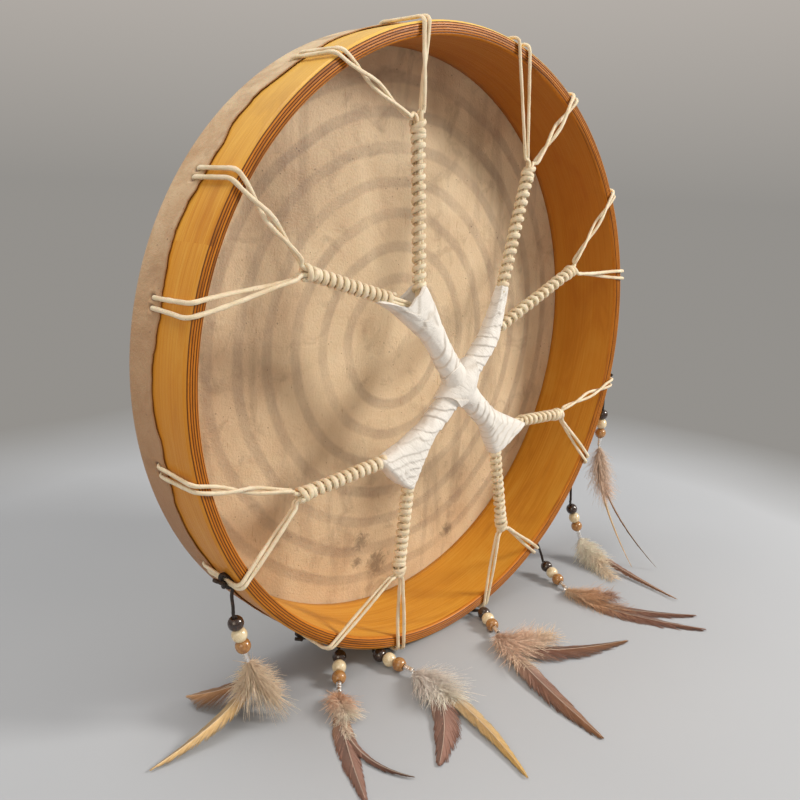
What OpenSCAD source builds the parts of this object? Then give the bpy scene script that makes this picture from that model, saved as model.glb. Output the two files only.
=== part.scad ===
/* [Hoop] */
// Outside diameter of the plywood hoop
hoop_d = 400; // [370:1:440]
// Thickness of the hoop's wall
hoop_t = 8.4; // [7.6:0.2:11]
// Depth of the hoop from its rear edge to its front edge
hoop_w = 59; // [56:1:76]
// Rounding of the two rear edges
edge_round = 2.6; // [1:0.1:3.4]
// Rounding of the front outer edge, where the skin bends over
front_round = 7; // [4:0.5:7.4]
// Number of plies glued up in the wall
plies = 6; // [3:1:8]
// Depth of the fine groove along each glue line on the rear edge
glue_groove = 0.3; // [0.1:0.1:0.6]

/* [Skin] */
// Thickness of the dried hide
skin_t = 1; // [0.6:0.1:1.6]
// How far the hide is drawn back along the outer wall from the front edge
skin_lap = 32; // [26:1:34]
// How deep the trimmed edge dips between two lace pairs
scallop_depth = 4; // [1:0.5:6]
// Width of each dip along the rim
scallop_w = 52; // [40:1:56]
// Distance of the lace holes from the trimmed edge
hole_inset = 7; // [5:0.5:10]
// Room between a lace and its hole, all round
hole_room = 0.5; // [0.3:0.1:0.8]

/* [Lacing] */
// Thickness of the rawhide lace
lace_d = 2.4; // [2:0.1:2.8]
// Half of the angle between the two lace pairs of one bundle
pair_spread = 9.8; // [9:0.1:10.5]
// Distance between the two strands of a pair at the rim
pair_gap = 5.4; // [4.6:0.1:6.4]
// Distance between the two strands of a pair where they reach the bundle
pair_close = 2.7; // [2.6:0.1:3]
// Radius in which a strand bends over the rear edge
rim_bend = 5; // [4.6:0.1:6]
// Radius in which a strand bends into its hole
hole_bend = 1.8; // [1.5:0.1:2]
// Clearance of a lace from the hoop and the hide
lace_clear = 0.15; // [0.1:0.05:0.3]

/* [Bundles] */
// Diameter of the four strands drawn together
core_d = 4.4; // [4:0.1:5]
// Diameter of the knot where the four strands come together
gather_d = 11; // [10.5:0.1:12]
// Thickness of the lace wound round a bundle
wrap_d = 2.6; // [2.2:0.1:3]
// Advance of the winding in one turn
wrap_pitch = 5.2; // [4.6:0.1:8]
// Radius in which the winding turns in at its ends
wrap_bend = 2.6; // [2.4:0.1:3.2]
// Clearance of the winding from the strands inside it
wrap_clear = 0.25; // [0.2:0.05:0.4]

/* [Grip] */
// How far the crossing lies below the middle of the drum
grip_drop = 20; // [10:1:26]
// Width of a wrapped arm
arm_w = 17; // [15.6:0.2:18]
// Thickness of a wrapped arm
arm_t = 15; // [13.6:0.2:16]
// Step where one lap of the strip lies on the next
strip_step = 0.9; // [0.5:0.1:1.4]
// Advance of the strip in one lap
strip_pitch = 9; // [7:0.5:12]
// Thickness of the wrapped crossing
cross_t = 18; // [17:0.5:20]
// Distance from the middle of the crossing to the end of each arm's wrap
cross_reach = 13; // [12.4:0.1:14]
// Diameter of a wrapped prong where a bundle leaves its arm
prong_d = 12.6; // [12:0.2:14]
// Diameter of the gathered cord inside an arm
cord_d = 6.4; // [5.6:0.2:7]
// Diameter of the knot in the middle of the cord
hub_d = 12; // [11:0.2:13]
// Diameter of the cord's fork, where it divides into two bundles
fork_d = 8.4; // [7.8:0.2:9]
// Clearance of the leather from the cord inside it
cord_clear = 0.3; // [0.2:0.05:0.4]

/* [Charms] */
// Diameter of a wooden bead
bead_d = 9.2; // [8.6:0.1:9.4]
// Length of a bead between its flat ends
bead_len = 8; // [7:0.1:8.2]
// Space between two beads
bead_space = 0.3; // [0.2:0.05:0.5]
// Thickness of the leather thong
thong_d = 2; // [1.6:0.1:2.2]
// Room between the thong and a bead's bore, all round
bore_room = 0.2; // [0.15:0.05:0.3]
// Outside diameter of the metal crimp
crimp_d = 2.9; // [2.8:0.1:3.2]
// Length of the crimp
crimp_len = 7; // [6:0.5:8]
// Length of thong held in the crimp
crimp_hold = 5; // [3:0.5:5.5]
// Thickness of the knot that ties a thong to its lace pair
knot_d = 4.6; // [4.4:0.1:4.8]
// Space between a knot and the thong that swings on it
knot_space = 0.5; // [0.4:0.05:0.8]
// Space between a crimp and the feathers that swing on it
plume_space = 0.5; // [0.4:0.05:0.8]
// Half of the width of a quill feather
feather_w = 6; // [4:0.5:7]
// Half of the thickness of a quill feather
feather_t = 0.8; // [0.6:0.1:1]

/* [Hidden] */
$fn = 48;

hoop_r = hoop_d/2;
skin_r = hoop_r + skin_t;
centre_z = skin_r;
lace_r = lace_d/2;
// The strands run flat behind the rear edge, and round the outside just clear of the hide
web_z = lace_r + lace_clear;
run_r = skin_r + lace_r + lace_clear;
edge_z = skin_lap - hoop_w;
hole_z = edge_z - hole_inset;
// Rear edge of the hoop, set so that the drum with its grip is centred from front to back
rear_y = (web_z + cross_t/2 - hoop_w - skin_t)/2;

// Arms of the grip: direction seen from behind, length from the crossing to the fork, name
arms = [
  [127, 68, "grip_arm_upper_left"],
  [47, 45, "grip_arm_upper_right"],
  [-41, 52, "grip_arm_lower_right"],
  [-140, 55, "grip_arm_lower_left"]
];

// Bundles anticlockwise from the right, seen from behind:
// direction and distance of the point where the strands part, arm, wrapped length past the fork
bundles = [
  [23, 131, 1, 20],
  [64, 134, 1, 30],
  [109, 149, 0, 14],
  [155, 142, 0, 29],
  [206, 146, 3, 24],
  [250, 146, 3, 22],
  [293, 147, 2, 17],
  [334, 135, 2, 31]
];
bundle_step = 360/len(bundles);

// Charms from left to right: bundle and side of its lace pair, depth of the knot from the rear edge,
// end of the knot that the thong leaves (1 anticlockwise), dark bead's offset across and back from the knot,
// its height and whether that is measured from the knot, bearing and slope of the row of beads
charms = [
  [4, 1, 12, 1, [4.2, -2], -26.7, true, 0, -74],
  [5, -1, 24, 1, [21.3, -11], 10, false, 229, -16],
  [5, 1, 12, -1, [-15.5, -9], 4.8, false, 277, 0],
  [6, -1, 10, -1, [-9, -18], 4.8, false, 240, 0],
  [6, 1, 14, 1, [19.7, -12], 9.2, false, 251, -14],
  [7, -1, 12, -1, [-0.2, -2], -46.7, true, 315, -70],
  [7, 1, 7, -1, [2.4, 0], -30.5, true, 0, -90]
];

// Each thong's bends between its knot and its beads, from the knot: across, depth, up
thong_bends = [
  [[2.8, -0.6, -10], [2.9, -1.6, -16.5]],
  [[10, -1.5, -5], [17.5, -3.4, -9.6], [24.6, -5.3, -16.1]],
  [[-9.6, 0, 1.3], [-13.6, -0.8, 1.4], [-15.6, -3, 1.4]],
  [[-7.6, -0.7, -1.2], [-8.8, -3.4, -1.2], [-8.6, -8, -0.9], [-7.4, -12, 0.4]],
  [[7.6, -0.2, 4.2], [12.6, -1.2, 2.6], [17, -3, -3], [20, -5, -11], [21.2, -6.6, -16.6]],
  [[-3, 0, -11], [-2.6, -0.2, -20], [-2, -0.5, -30], [-1.4, -0.8, -38]],
  [[0.2, 0, -10], [1.8, 0, -16], [2.3, 0, -21.5]]
];

// Feathers of each charm: tip across and back from the knot, its height above the floor,
// half width and half thickness
plumes = [
  [[[-51, -4], 1.8, feather_w, feather_t], [[-7, 34], 6, feather_w, feather_t], [[30, -6], 9, 11, 6]],
  [[[-44, -108], 1.6, feather_w, feather_t], [[-14, -114], 1.6, feather_w, feather_t], [[-10, -58], 5, 9, 4]],
  [[[-60, -104], 1.6, feather_w, feather_t], [[-32, -142], 1.6, feather_w, feather_t], [[-18, -74], 6, 12, 5]],
  [[[44, -106], 1.6, feather_w, feather_t], [[-62, -150], 1.6, feather_w, feather_t], [[8, -74], 6, 11, 5]],
  [[[38, -140], 1.6, feather_w, feather_t], [[52, -126], 1.6, feather_w, feather_t], [[28, -76], 5, 9, 4]],
  [[[-11, -57], 2.4, feather_w, feather_t], [[1, -104], 2, feather_w, feather_t], [[0, -38], 7, 8, 5]],
  [[[-4, -47], 2.6, feather_w, feather_t], [[12, -61], 2.6, feather_w, feather_t], [[5, -13], 50, 11, 6]]
];

tube_sides = 8;
wrap_sides = 6;
turn_rings = 8;
strip_sides = 12;
room_sides = 12;
// Distance from the middle of a fork at which the rooms of its bundles start
room_lap = 2;
feather_sides = 6;
// Step between the roots of a charm's feathers
root_step = 0.35;
// Share of a feather's length and of its full width at each of its rings
feather_rings = [
  [0, 0.12], [0.1, 0.18], [0.22, 0.75], [0.42, 1],
  [0.64, 0.96], [0.82, 0.7], [0.94, 0.36], [1, 0.06]
];

function polar(r, a) = [r*cos(a), r*sin(a)];
function unit(v) = v/norm(v);
function flat(v, z) = [v.x, v.y, z];
function bearing(v) = atan2(v.y, v.x);
function joined(lists) = [for (l = lists) each l];

// Middle of the crossing, forks of the arms and partings of the strands, seen from behind
cross_xy = [0, -grip_drop];
function fork_xy(i) = cross_xy + polar(arms[i][1], arms[i][0]);
function split_xy(k) = polar(bundles[k][1], bundles[k][0]);
function bundle_fork(k) = fork_xy(bundles[k][2]);
function bundle_dir(k) = unit(split_xy(k) - bundle_fork(k));
function prong_xy(k) = bundle_fork(k) + bundles[k][3]*bundle_dir(k);
function pair_angle(k, side) = bundle_step*(k + 0.5) + side*pair_spread;
pair_turn = asin(pair_gap/2/run_r);

// Frame of the view from behind: x to the right, y up, z towards the viewer, origin at the rear edge's centre
module from_behind() {
  translate([0, rear_y, centre_z]) rotate([90, 0, 0]) children();
}

// Sets children, drawn along z, at point p along direction d
module along(p, d) {
  translate(p) rotate([0, acos(d.z), atan2(d.y, d.x)]) children();
}

// A corner of a profile, cut away outside an arc; sx and sy point out of the profile
module corner_cut(x, y, r, sx, sy) {
  translate([x, y]) mirror([sx > 0 ? 1 : 0, 0]) mirror([0, sy > 0 ? 1 : 0])
    difference() {
      translate([-1, -1]) square(r + 1);
      translate([r, r]) circle(r);
    }
}

// Rings of a swept tube keep their turn from point to point
function tangents(p) = [for (i = [0:len(p) - 1]) unit(p[min(i + 1, len(p) - 1)] - p[max(i - 1, 0)])];
function carried(t, n, i = 0) = i == len(t) ? [] :
  let (m = unit(n - t[i]*(n*t[i]))) concat([m], carried(t, m, i + 1));
function across(t) = abs(t.z) < 0.8 ? [0, 0, 1] : [0, 1, 0];
function ring(p, t, n, r, sides) = let (b = cross(t, n))
  [for (j = [0:sides - 1]) p + r*(cos(360*j/sides)*n + sin(360*j/sides)*b)];
function skin_faces(rings, sides) = joined([
  [for (i = [0:rings - 2], j = [0:sides - 1]) let (a = i*sides, b = a + sides, n = (j + 1)%sides)
    each [[a + j, b + j, b + n], [a + j, b + n, a + n]]],
  [for (j = [1:sides - 2]) [0, j, j + 1]],
  [for (j = [1:sides - 2]) let (e = (rings - 1)*sides) [e, e + j + 1, e + j]]
]);

module tube(p, r, sides) {
  t = tangents(p);
  n = carried(t, across(t[0]));
  points = joined([for (i = [0:len(p) - 1]) ring(p[i], t[i], n[i], r[i], sides)]);
  polyhedron(points, skin_faces(len(p), sides));
}

// Plywood hoop with rounded edges and a groove along each glue line
module hoop_profile() {
  difference() {
    translate([hoop_r - hoop_t, -hoop_w]) square([hoop_t, hoop_w]);
    corner_cut(hoop_r, 0, edge_round, 1, 1);
    corner_cut(hoop_r - hoop_t, 0, edge_round, -1, 1);
    corner_cut(hoop_r, -hoop_w, front_round, 1, -1);
    for (i = [1:plies - 1])
      translate([hoop_r - hoop_t*i/plies, 0]) rotate(45) square(glue_groove*sqrt(2), center = true);
  }
}

module hoop() {
  color("goldenrod") from_behind() rotate_extrude() hoop_profile();
}

// Hide: a flat head that bends over the front edge and lies on the outer wall
module skin_profile() {
  difference() {
    translate([0, -hoop_w - skin_t]) square([skin_r, skin_lap + skin_t]);
    corner_cut(skin_r, -hoop_w - skin_t, front_round + skin_t, 1, -1);
    difference() {
      translate([0, -hoop_w]) square([hoop_r, hoop_w]);
      corner_cut(hoop_r, -hoop_w, front_round, 1, -1);
    }
  }
}

module skin() {
  scallop_r = (pow(scallop_w/2, 2) + pow(scallop_depth, 2))/(2*scallop_depth);
  color("wheat") from_behind() difference() {
    rotate_extrude() skin_profile();
    for (k = [0:len(bundles)*2 - 1])
      rotate([0, 0, bundle_step/2*k]) translate([hoop_r - hoop_t/2, 0, edge_z - scallop_depth + scallop_r])
        rotate([0, 90, 0]) cylinder(h = hoop_t, r = scallop_r);
    for (k = [0:len(bundles) - 1], side = [-1, 1], strand = [-1, 1])
      rotate([0, 0, pair_angle(k, side) + strand*pair_turn]) translate([hoop_r - hoop_t/2, 0, hole_z])
        rotate([0, 90, 0]) cylinder(h = hoop_t, d = lace_d + 2*hole_room);
  }
}

// Centreline of a strand: out of its hole, along the outer wall, over the rear edge and in to its knot
function strand_stop(o, way) =
  o*way + sqrt(pow(gather_d/2 + lace_clear, 2) - pow(max(abs(cross(o, way)) - lace_r, 0), 2));
function strand_path(a, split, offset) = let (
    start = polar(run_r, a),
    out = polar(1, a),
    way = unit(split + offset - start)
  ) concat(
    [for (t = [0:45:90]) flat(start - hole_bend*(1 - sin(t))*out, hole_z + hole_bend*(1 - cos(t)))],
    [for (t = [0:30:90]) flat(start + rim_bend*(1 - cos(t))*way, web_z - rim_bend*(1 - sin(t)))],
    [flat(split + offset - strand_stop(offset, way)*way, web_z)]);

// Rawhide lacing: in each bundle four strands come together in a knot and run on to the grip
module lacing() {
  color("ivory") from_behind() for (k = [0:len(bundles) - 1]) {
    away = bundle_dir(k);
    aside = [-away.y, away.x];
    rod = norm(split_xy(k) - bundle_fork(k)) - fork_d/2 - cord_clear;
    for (side = [-1, 1], s = [-1, 1]) {
      pair_mid = side*(pair_close/2 + core_d/3)*aside;
      way = unit(split_xy(k) + pair_mid - polar(run_r, pair_angle(k, side)));
      offset = pair_mid + s*pair_close/2*[way.y, -way.x];
      path = strand_path(pair_angle(k, side) + s*pair_turn, split_xy(k), offset);
      tube(path, [for (q = path) lace_r], tube_sides);
    }
    along(flat(split_xy(k), web_z), flat(-away, 0)) {
      sphere(d = gather_d);
      cylinder(h = rod, d = core_d);
    }
  }
}

// Cord inside the grip: four arms from the crossing, each with the fork that carries two bundles
module grip_cord() {
  color("ivory") from_behind() {
    translate(flat(cross_xy, web_z)) sphere(d = hub_d);
    for (i = [0:len(arms) - 1]) {
      along(flat(cross_xy + polar(hub_d/3, arms[i][0]), web_z), flat(polar(1, arms[i][0]), 0))
        cylinder(h = arms[i][1] - hub_d/3, d = cord_d);
      translate(flat(fork_xy(i), web_z)) sphere(d = fork_d);
    }
  }
}

// Crossing of the grip, flat where the four arms meet it
module grip_crossing() {
  round_r = norm([cross_reach, arm_w/2]);
  color("white") from_behind() translate(flat(cross_xy, web_z)) difference() {
    intersection() {
      sphere(round_r);
      cube([4*round_r, 4*round_r, cross_t], center = true);
    }
    sphere(d = hub_d + 2*cord_clear);
    for (a = arms) rotate([0, 0, a[0]]) {
      translate([cross_reach, -round_r, -round_r]) cube(2*round_r);
      rotate([0, 90, 0]) cylinder(h = round_r, d = cord_d + 2*cord_clear);
    }
  }
}

// Leather strip wound along an arm in overlapping laps, as one spiral step
function strip_ring(s, laps_at) = [for (j = [0:strip_sides - 1])
  let (turn = laps_at - (j + 0.5)/strip_sides, lap = strip_step*(turn - floor(turn) - 1))
  [s, (arm_w/2 + lap)*cos(360*j/strip_sides), (arm_t/2 + lap)*sin(360*j/strip_sides)]];

module strip_sleeve(from, to) {
  rings = ceil((to - from)/strip_pitch*3);
  step = (to - from)/rings;
  polyhedron(joined([for (i = [0:rings]) strip_ring(from + step*i, i*step/strip_pitch)]),
    skin_faces(rings + 1, strip_sides));
}

// Room inside the leather, as a prism that clears a round cord of diameter d
module prism_room(h, d) {
  cylinder(h = h, d = (d + 2*cord_clear)/cos(180/room_sides), $fn = room_sides);
}

// One arm: the wound sleeve, and the fan of strip over the fork where two bundles leave it
module grip_arm(i) {
  held = [for (k = [0:len(bundles) - 1]) if (bundles[k][2] == i) k];
  color("white") from_behind() difference() {
    union() {
      translate(flat(cross_xy, web_z)) rotate([0, 0, arms[i][0]]) strip_sleeve(cross_reach, arms[i][1]);
      hull() {
        translate(flat(fork_xy(i) - polar(fork_d, arms[i][0]), web_z))
          rotate([0, 0, arms[i][0]]) rotate([0, 90, 0]) cylinder(h = 1, d = prong_d - 2*strip_step, $fn = 24);
        for (k = held)
          along(flat(prong_xy(k), web_z), flat(-bundle_dir(k), 0)) cylinder(h = 2, d = prong_d, $fn = 24);
      }
    }
    along(flat(cross_xy, web_z), flat(polar(1, arms[i][0]), 0)) prism_room(arms[i][1] + room_lap/2, cord_d);
    translate(flat(fork_xy(i), web_z - fork_d/2 - cord_clear)) prism_room(fork_d + 2*cord_clear, fork_d);
    for (k = held)
      along(flat(bundle_fork(k) + room_lap*bundle_dir(k), web_z), flat(bundle_dir(k), 0))
        prism_room(bundles[k][3] + prong_d, core_d);
    for (k = held)
      along(flat(prong_xy(k) + wrap_clear/2*bundle_dir(k), web_z), flat(bundle_dir(k), 0))
        prism_room(prong_d, 2*wrap_r + wrap_d);
  }
}

// Winding round a bundle, drawn on the unrolled cylinder: in along the bundle, round and round, out along it
wrap_r = (core_d/2 + wrap_clear + wrap_d/2)/cos(180/turn_rings);
function wrap_room(k) = norm(split_xy(k) - prong_xy(k)) - gather_d/2 - 2*wrap_clear;
function wrap_ends() = wrap_d + wrap_bend;
function wrap_turns(k) = floor((wrap_room(k) - 2*wrap_ends())/wrap_pitch);
function wrap_advance(k) = (wrap_room(k) - 2*wrap_ends())/wrap_turns(k);
function unrolled_end() = [
  [0, 0], [0, wrap_d],
  for (a = [30:30:89]) [wrap_bend*(1 - cos(a)), wrap_d + wrap_bend*sin(a)]
];
function unrolled(k) = let (
    lead = unrolled_end(),
    girth = 2*PI*wrap_r,
    steps = wrap_turns(k)*turn_rings,
    turns = [for (i = [0:steps])
      [wrap_bend + girth*i/turn_rings, wrap_ends() + wrap_advance(k)*i/turn_rings]],
    far = turns[steps] + [wrap_bend, wrap_ends()]
  ) concat(lead, turns, [for (i = [len(lead) - 1:-1:0]) far - lead[i]]);
function wrap_path(k) = let (
    d = bundle_dir(k),
    start = prong_xy(k) + wrap_clear*d,
    aside = [-d.y, d.x]
  ) [for (q = unrolled(k)) let (a = q.x/wrap_r*180/PI, p = start + q.y*d + wrap_r*cos(a)*aside)
    flat(p, web_z + wrap_r*sin(a))];
function least_gap(p, reach) =
  min([for (i = [0:len(p) - 1 - reach], j = [i + reach:len(p) - 1]) norm(p[i] - p[j])]);

module lace_wrap(k) {
  path = wrap_path(k);
  color("linen") from_behind() tube(path, [for (q = path) wrap_d/2], wrap_sides);
}

// Places of a charm: its knot on the outer wall, where its thong starts, and its row of beads
knot_r = hoop_r + lace_clear + knot_d/2;
knot_half = pair_gap/2 + lace_d/4;
function charm_angle(i) = pair_angle(charms[i][0], charms[i][1]);
function knot_at(i) = let (p = polar(knot_r, charm_angle(i))) [p.x, rear_y + charms[i][2], centre_z + p.y];
function thong_way(i) = let (p = charms[i][3]*polar(1, charm_angle(i) + 90)) [p.x, 0, p.y];
function thong_start(i) = knot_at(i) + (knot_half + knot_d/2 + knot_space)*thong_way(i);
function bead_dir(i) = let (a = charms[i][7], e = charms[i][8]) [cos(e)*cos(a), cos(e)*sin(a), sin(e)];
function dark_at(i) = let (c = charms[i], k = knot_at(i))
  [k.x + c[4].x, k.y + c[4].y, c[5] + (c[6] ? k.z : 0)];
function bead_at(i, row) = dark_at(i) + row*(bead_len + bead_space)*bead_dir(i);
function crimp_at(i) = bead_at(i, 2) + (bead_len/2 + bead_space)*bead_dir(i);
function plume_at(i) = crimp_at(i) + (crimp_len + plume_space)*bead_dir(i);

// Knots that tie the thongs round their lace pairs
module knots() {
  color("black") from_behind() for (i = [0:len(charms) - 1])
    rotate([0, 0, charm_angle(i)]) translate([0, 0, -charms[i][2]]) difference() {
      translate([knot_r, 0, 0]) rotate([90, 0, 0]) {
        cylinder(h = 2*knot_half, d = knot_d, center = true);
        for (end = [-1, 1]) translate([0, 0, end*knot_half]) sphere(d = knot_d);
      }
      for (s = [-1, 1]) rotate([0, 0, s*pair_turn]) translate([run_r, 0, 0])
        cylinder(h = 2*knot_d, d = lace_d + 2*lace_clear, center = true);
    }
}

// Thong from its knot through the beads into the crimp
module thong(i) {
  d = bead_dir(i);
  k = knot_at(i);
  tip = thong_start(i);
  top = dark_at(i) - (bead_len/2 + bead_space)*d;
  path = concat([tip, tip + thong_d/2*thong_way(i)], [for (b = thong_bends[i]) k + b],
    [top, bead_at(i, 1), crimp_at(i) + crimp_hold*d]);
  color("black") tube(path, [for (j = [0:len(path) - 1]) j == 0 ? thong_d/6 : thong_d/2], tube_sides);
}

module bead(i, row) {
  along(bead_at(i, row), bead_dir(i)) difference() {
    intersection() {
      sphere(d = bead_d);
      cylinder(h = bead_len, d = 2*bead_d, center = true);
    }
    cylinder(h = 2*bead_len, d = thong_d + 2*bore_room, center = true);
  }
}

module dark_bead(i) { color("saddlebrown") bead(i, 0); }
module cream_bead(i) { color("cornsilk") bead(i, 1); }
module tan_bead(i) { color("peru") bead(i, 2); }

module crimp(i) {
  color("silver") along(crimp_at(i), bead_dir(i)) difference() {
    cylinder(h = crimp_len, d = crimp_d);
    translate([0, 0, -1]) cylinder(h = crimp_len + 2, d = thong_d + 2*bore_room);
  }
}

// A feather leaves the crimp in line with the beads and curves to its tip
function curve(a, b, c, s) = (1 - s)*(1 - s)*a + 2*s*(1 - s)*b + s*s*c;
function feather_path(i, m) = let (
    f = plumes[i][m],
    k = knot_at(i),
    d = bead_dir(i),
    root = plume_at(i) + m*root_step*(d + unit(cross(d, across(d)))),
    tip = [k.x + f[0].x, k.y + f[0].y, f[1]],
    lead = root + 0.4*norm(tip - root)*d,
    turn = [lead.x, lead.y, max(lead.z, f[1])]
  ) [for (r = feather_rings) curve(root, turn, tip, r[0])];

// Width of a feather: level where it lies along the floor, square to its bend where it hangs
function blade_side(d, way, t) = unit(abs(d.z) > 0.8 ? cross(d, way) : cross(t, [0, 0, 1]));

module feather(i, m) {
  f = plumes[i][m];
  p = feather_path(i, m);
  t = tangents(p);
  way = p[len(p) - 1] - p[0];
  points = joined([for (n = [0:len(p) - 1])
    let (w = blade_side(bead_dir(i), way, t[n]), up = cross(w, t[n]), share = feather_rings[n][1])
    [for (j = [0:feather_sides - 1]) let (a = 360*j/feather_sides)
      p[n] + share*f[2]*cos(a)*w - max(share*f[3], feather_t/2)*sin(a)*up]]);
  polyhedron(points, skin_faces(len(p), feather_sides));
}

module plume(i) {
  color("tan") for (m = [0:len(plumes[i]) - 1]) feather(i, m);
}

for (k = [0:len(bundles) - 1])
  echo(str("winding ", k + 1, ": ", wrap_turns(k), " turns, least gap ",
    least_gap(wrap_path(k), turn_rings - 2) - wrap_d, " mm"));

hoop();
skin();
lacing();
knots();
grip_cord();
grip_crossing();
for (i = [0:len(arms) - 1]) {
  grip_arm(i);
}
for (k = [0:len(bundles) - 1]) {
  lace_wrap(k);
}
for (i = [0:len(charms) - 1]) {
  thong(i);
  dark_bead(i);
  cream_bead(i);
  tan_bead(i);
  crimp(i);
  plume(i);
}
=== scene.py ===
import math

import bpy
import bmesh
import numpy as np
from mathutils import Matrix, Vector, noise


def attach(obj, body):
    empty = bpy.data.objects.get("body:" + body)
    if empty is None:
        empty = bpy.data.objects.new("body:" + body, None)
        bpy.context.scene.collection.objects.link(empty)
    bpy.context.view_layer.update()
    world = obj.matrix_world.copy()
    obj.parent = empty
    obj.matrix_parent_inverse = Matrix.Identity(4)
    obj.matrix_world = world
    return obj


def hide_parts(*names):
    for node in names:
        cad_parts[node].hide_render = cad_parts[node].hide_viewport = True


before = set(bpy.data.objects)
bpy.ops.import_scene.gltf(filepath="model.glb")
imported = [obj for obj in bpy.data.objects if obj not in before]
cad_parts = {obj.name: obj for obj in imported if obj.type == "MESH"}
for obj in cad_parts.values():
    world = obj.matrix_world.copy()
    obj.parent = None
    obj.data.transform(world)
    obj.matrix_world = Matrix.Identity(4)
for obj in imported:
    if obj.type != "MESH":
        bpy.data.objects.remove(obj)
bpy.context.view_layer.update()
print("frame loaded,", len(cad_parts), "nodes")

# Places are in millimetres seen from behind: x to the right, up from the drum's middle, back to the viewer
drum = {
    "middleUp": 201.0,  # middle of the hoop above the floor
    "rearY": -24.825,  # rear edge of the hoop
    "outerR": 200.0, "wall": 8.4, "depth": 59.0, "plies": 6,
    "hideR": 201.0,  # outside of the hide on the wall
    "laceR": 202.35,  # middle of a lace on the wall
    "webBack": 1.35,  # laces and grip lie this far behind the rear edge
}


def behind(x, up, back=0.0):
    return np.array([x, drum["rearY"] - back, drum["middleUp"] + up]) / 1000


def onRim(radius, angle, depth):  # degrees anticlockwise from the right, depth in front of the rear edge
    a = math.radians(angle)
    return behind(radius * math.cos(a), radius * math.sin(a), -depth)


def polar(radius, angle):
    a = math.radians(angle)
    return np.array([radius * math.cos(a), radius * math.sin(a)])


def unit(v):
    v = np.asarray(v, float)
    return v / np.maximum(np.linalg.norm(v, axis=-1, keepdims=True), 1e-12)


def wander(x, y=0.0, z=0.0):  # smooth noise from -1 to 1, the same at each run
    return noise.noise(Vector((x, y, z)))


def ease(x):
    x = np.clip(x, 0, 1)
    return x * x * (3 - 2 * x)


def leftOf(way):  # a quarter turn anticlockwise, seen from behind
    return np.array([-way[1], way[0]])


def lengthAlong(points):  # running length of a chain of points
    return np.concatenate([[0], np.cumsum(np.linalg.norm(np.diff(points, axis=0), axis=1))])


# Camera where the photograph was taken from
camera = {"place": (-0.3908, -0.3593, 0.3033), "right": (0.7101, -0.7031, 0.0372),
          "up": (0.1515, 0.2042, 0.9671), "lens": 36.0, "sensor": 36.0, "nearest": 0.01}


def setCamera():
    data = bpy.data.cameras.new("photoCamera")
    data.lens = camera["lens"]
    data.sensor_width = camera["sensor"]
    data.clip_start = camera["nearest"]
    obj = bpy.data.objects.new("photoCamera", data)
    bpy.context.scene.collection.objects.link(obj)
    right = Vector(camera["right"]).normalized()
    up = Vector(camera["up"])
    up = (up - right * up.dot(right)).normalized()
    turn = Matrix((right, up, right.cross(up))).transposed().to_4x4()
    obj.matrix_world = Matrix.Translation(camera["place"]) @ turn
    bpy.context.scene.camera = obj


setCamera()


# Meshes: a loft is a stack of rings of points, whose "lay" keeps each corner's length along and around
def loftData(rings, around=True, along=False, caps=True, marks=None):
    rings = np.asarray(rings, float)
    n, m = rings.shape[:2]
    loop = rings if not around else np.concatenate([rings, rings[:, :1]], 1)
    gaps = np.linalg.norm(np.diff(loop, axis=1), axis=2)
    across = np.concatenate([np.zeros((n, 1)), np.cumsum(gaps, 1)], 1)
    middle = rings.mean(1) if not along else rings[:, 0]
    chain = middle if not along else np.concatenate([middle, middle[:1]])
    run = lengthAlong(chain)
    faces, lay = [], []
    for i in range(n if along else n - 1):
        k = (i + 1) % n
        for j in range(m if around else m - 1):
            after = (j + 1) % m
            faces.append((i * m + j, i * m + after, k * m + after, k * m + j))
            lay += [(run[i], across[i][j], 0), (run[i], across[i][j + 1], 0),
                    (run[i + 1], across[k][j + 1], 0), (run[i + 1], across[k][j], 0)]
    if caps and around and not along:
        for i, order in ((0, range(m - 1, -1, -1)), (n - 1, range(m))):
            faces.append(tuple(i * m + j for j in order))
            lay += [(run[i], across[i][j], 0) for j in order]
    return rings.reshape(-1, 3), faces, lay, marks or {}


def addParts(name, parts, material, solid=True):
    points, faces, lay, marks, start = [], [], [], {}, 0
    for p, f, l, m in parts:
        points.append(p)
        faces += [tuple(i + start for i in face) for face in f]
        lay += l
        for key, value in m.items():
            marks.setdefault(key, []).append(np.asarray(value, float).reshape(-1))
        start += len(p)
    mesh = bpy.data.meshes.new(name)
    mesh.from_pydata(np.concatenate(points).tolist(), [], faces)
    mesh.polygons.foreach_set("use_smooth", [True] * len(mesh.polygons))
    if len(lay) == len(mesh.loops):
        mesh.attributes.new("lay", "FLOAT_VECTOR", "CORNER").data.foreach_set("vector", np.ravel(lay))
    for key, values in marks.items():
        mesh.attributes.new(key, "FLOAT", "POINT").data.foreach_set("value", np.concatenate(values))
    if solid:
        work = bmesh.new()
        work.from_mesh(mesh)
        bmesh.ops.recalc_face_normals(work, faces=work.faces)
        work.to_mesh(mesh)
        work.free()
    mesh.materials.append(material)
    obj = bpy.data.objects.new(name, mesh)
    bpy.context.scene.collection.objects.link(obj)
    return obj


fineSteps = 24  # between two points of a curve


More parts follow.
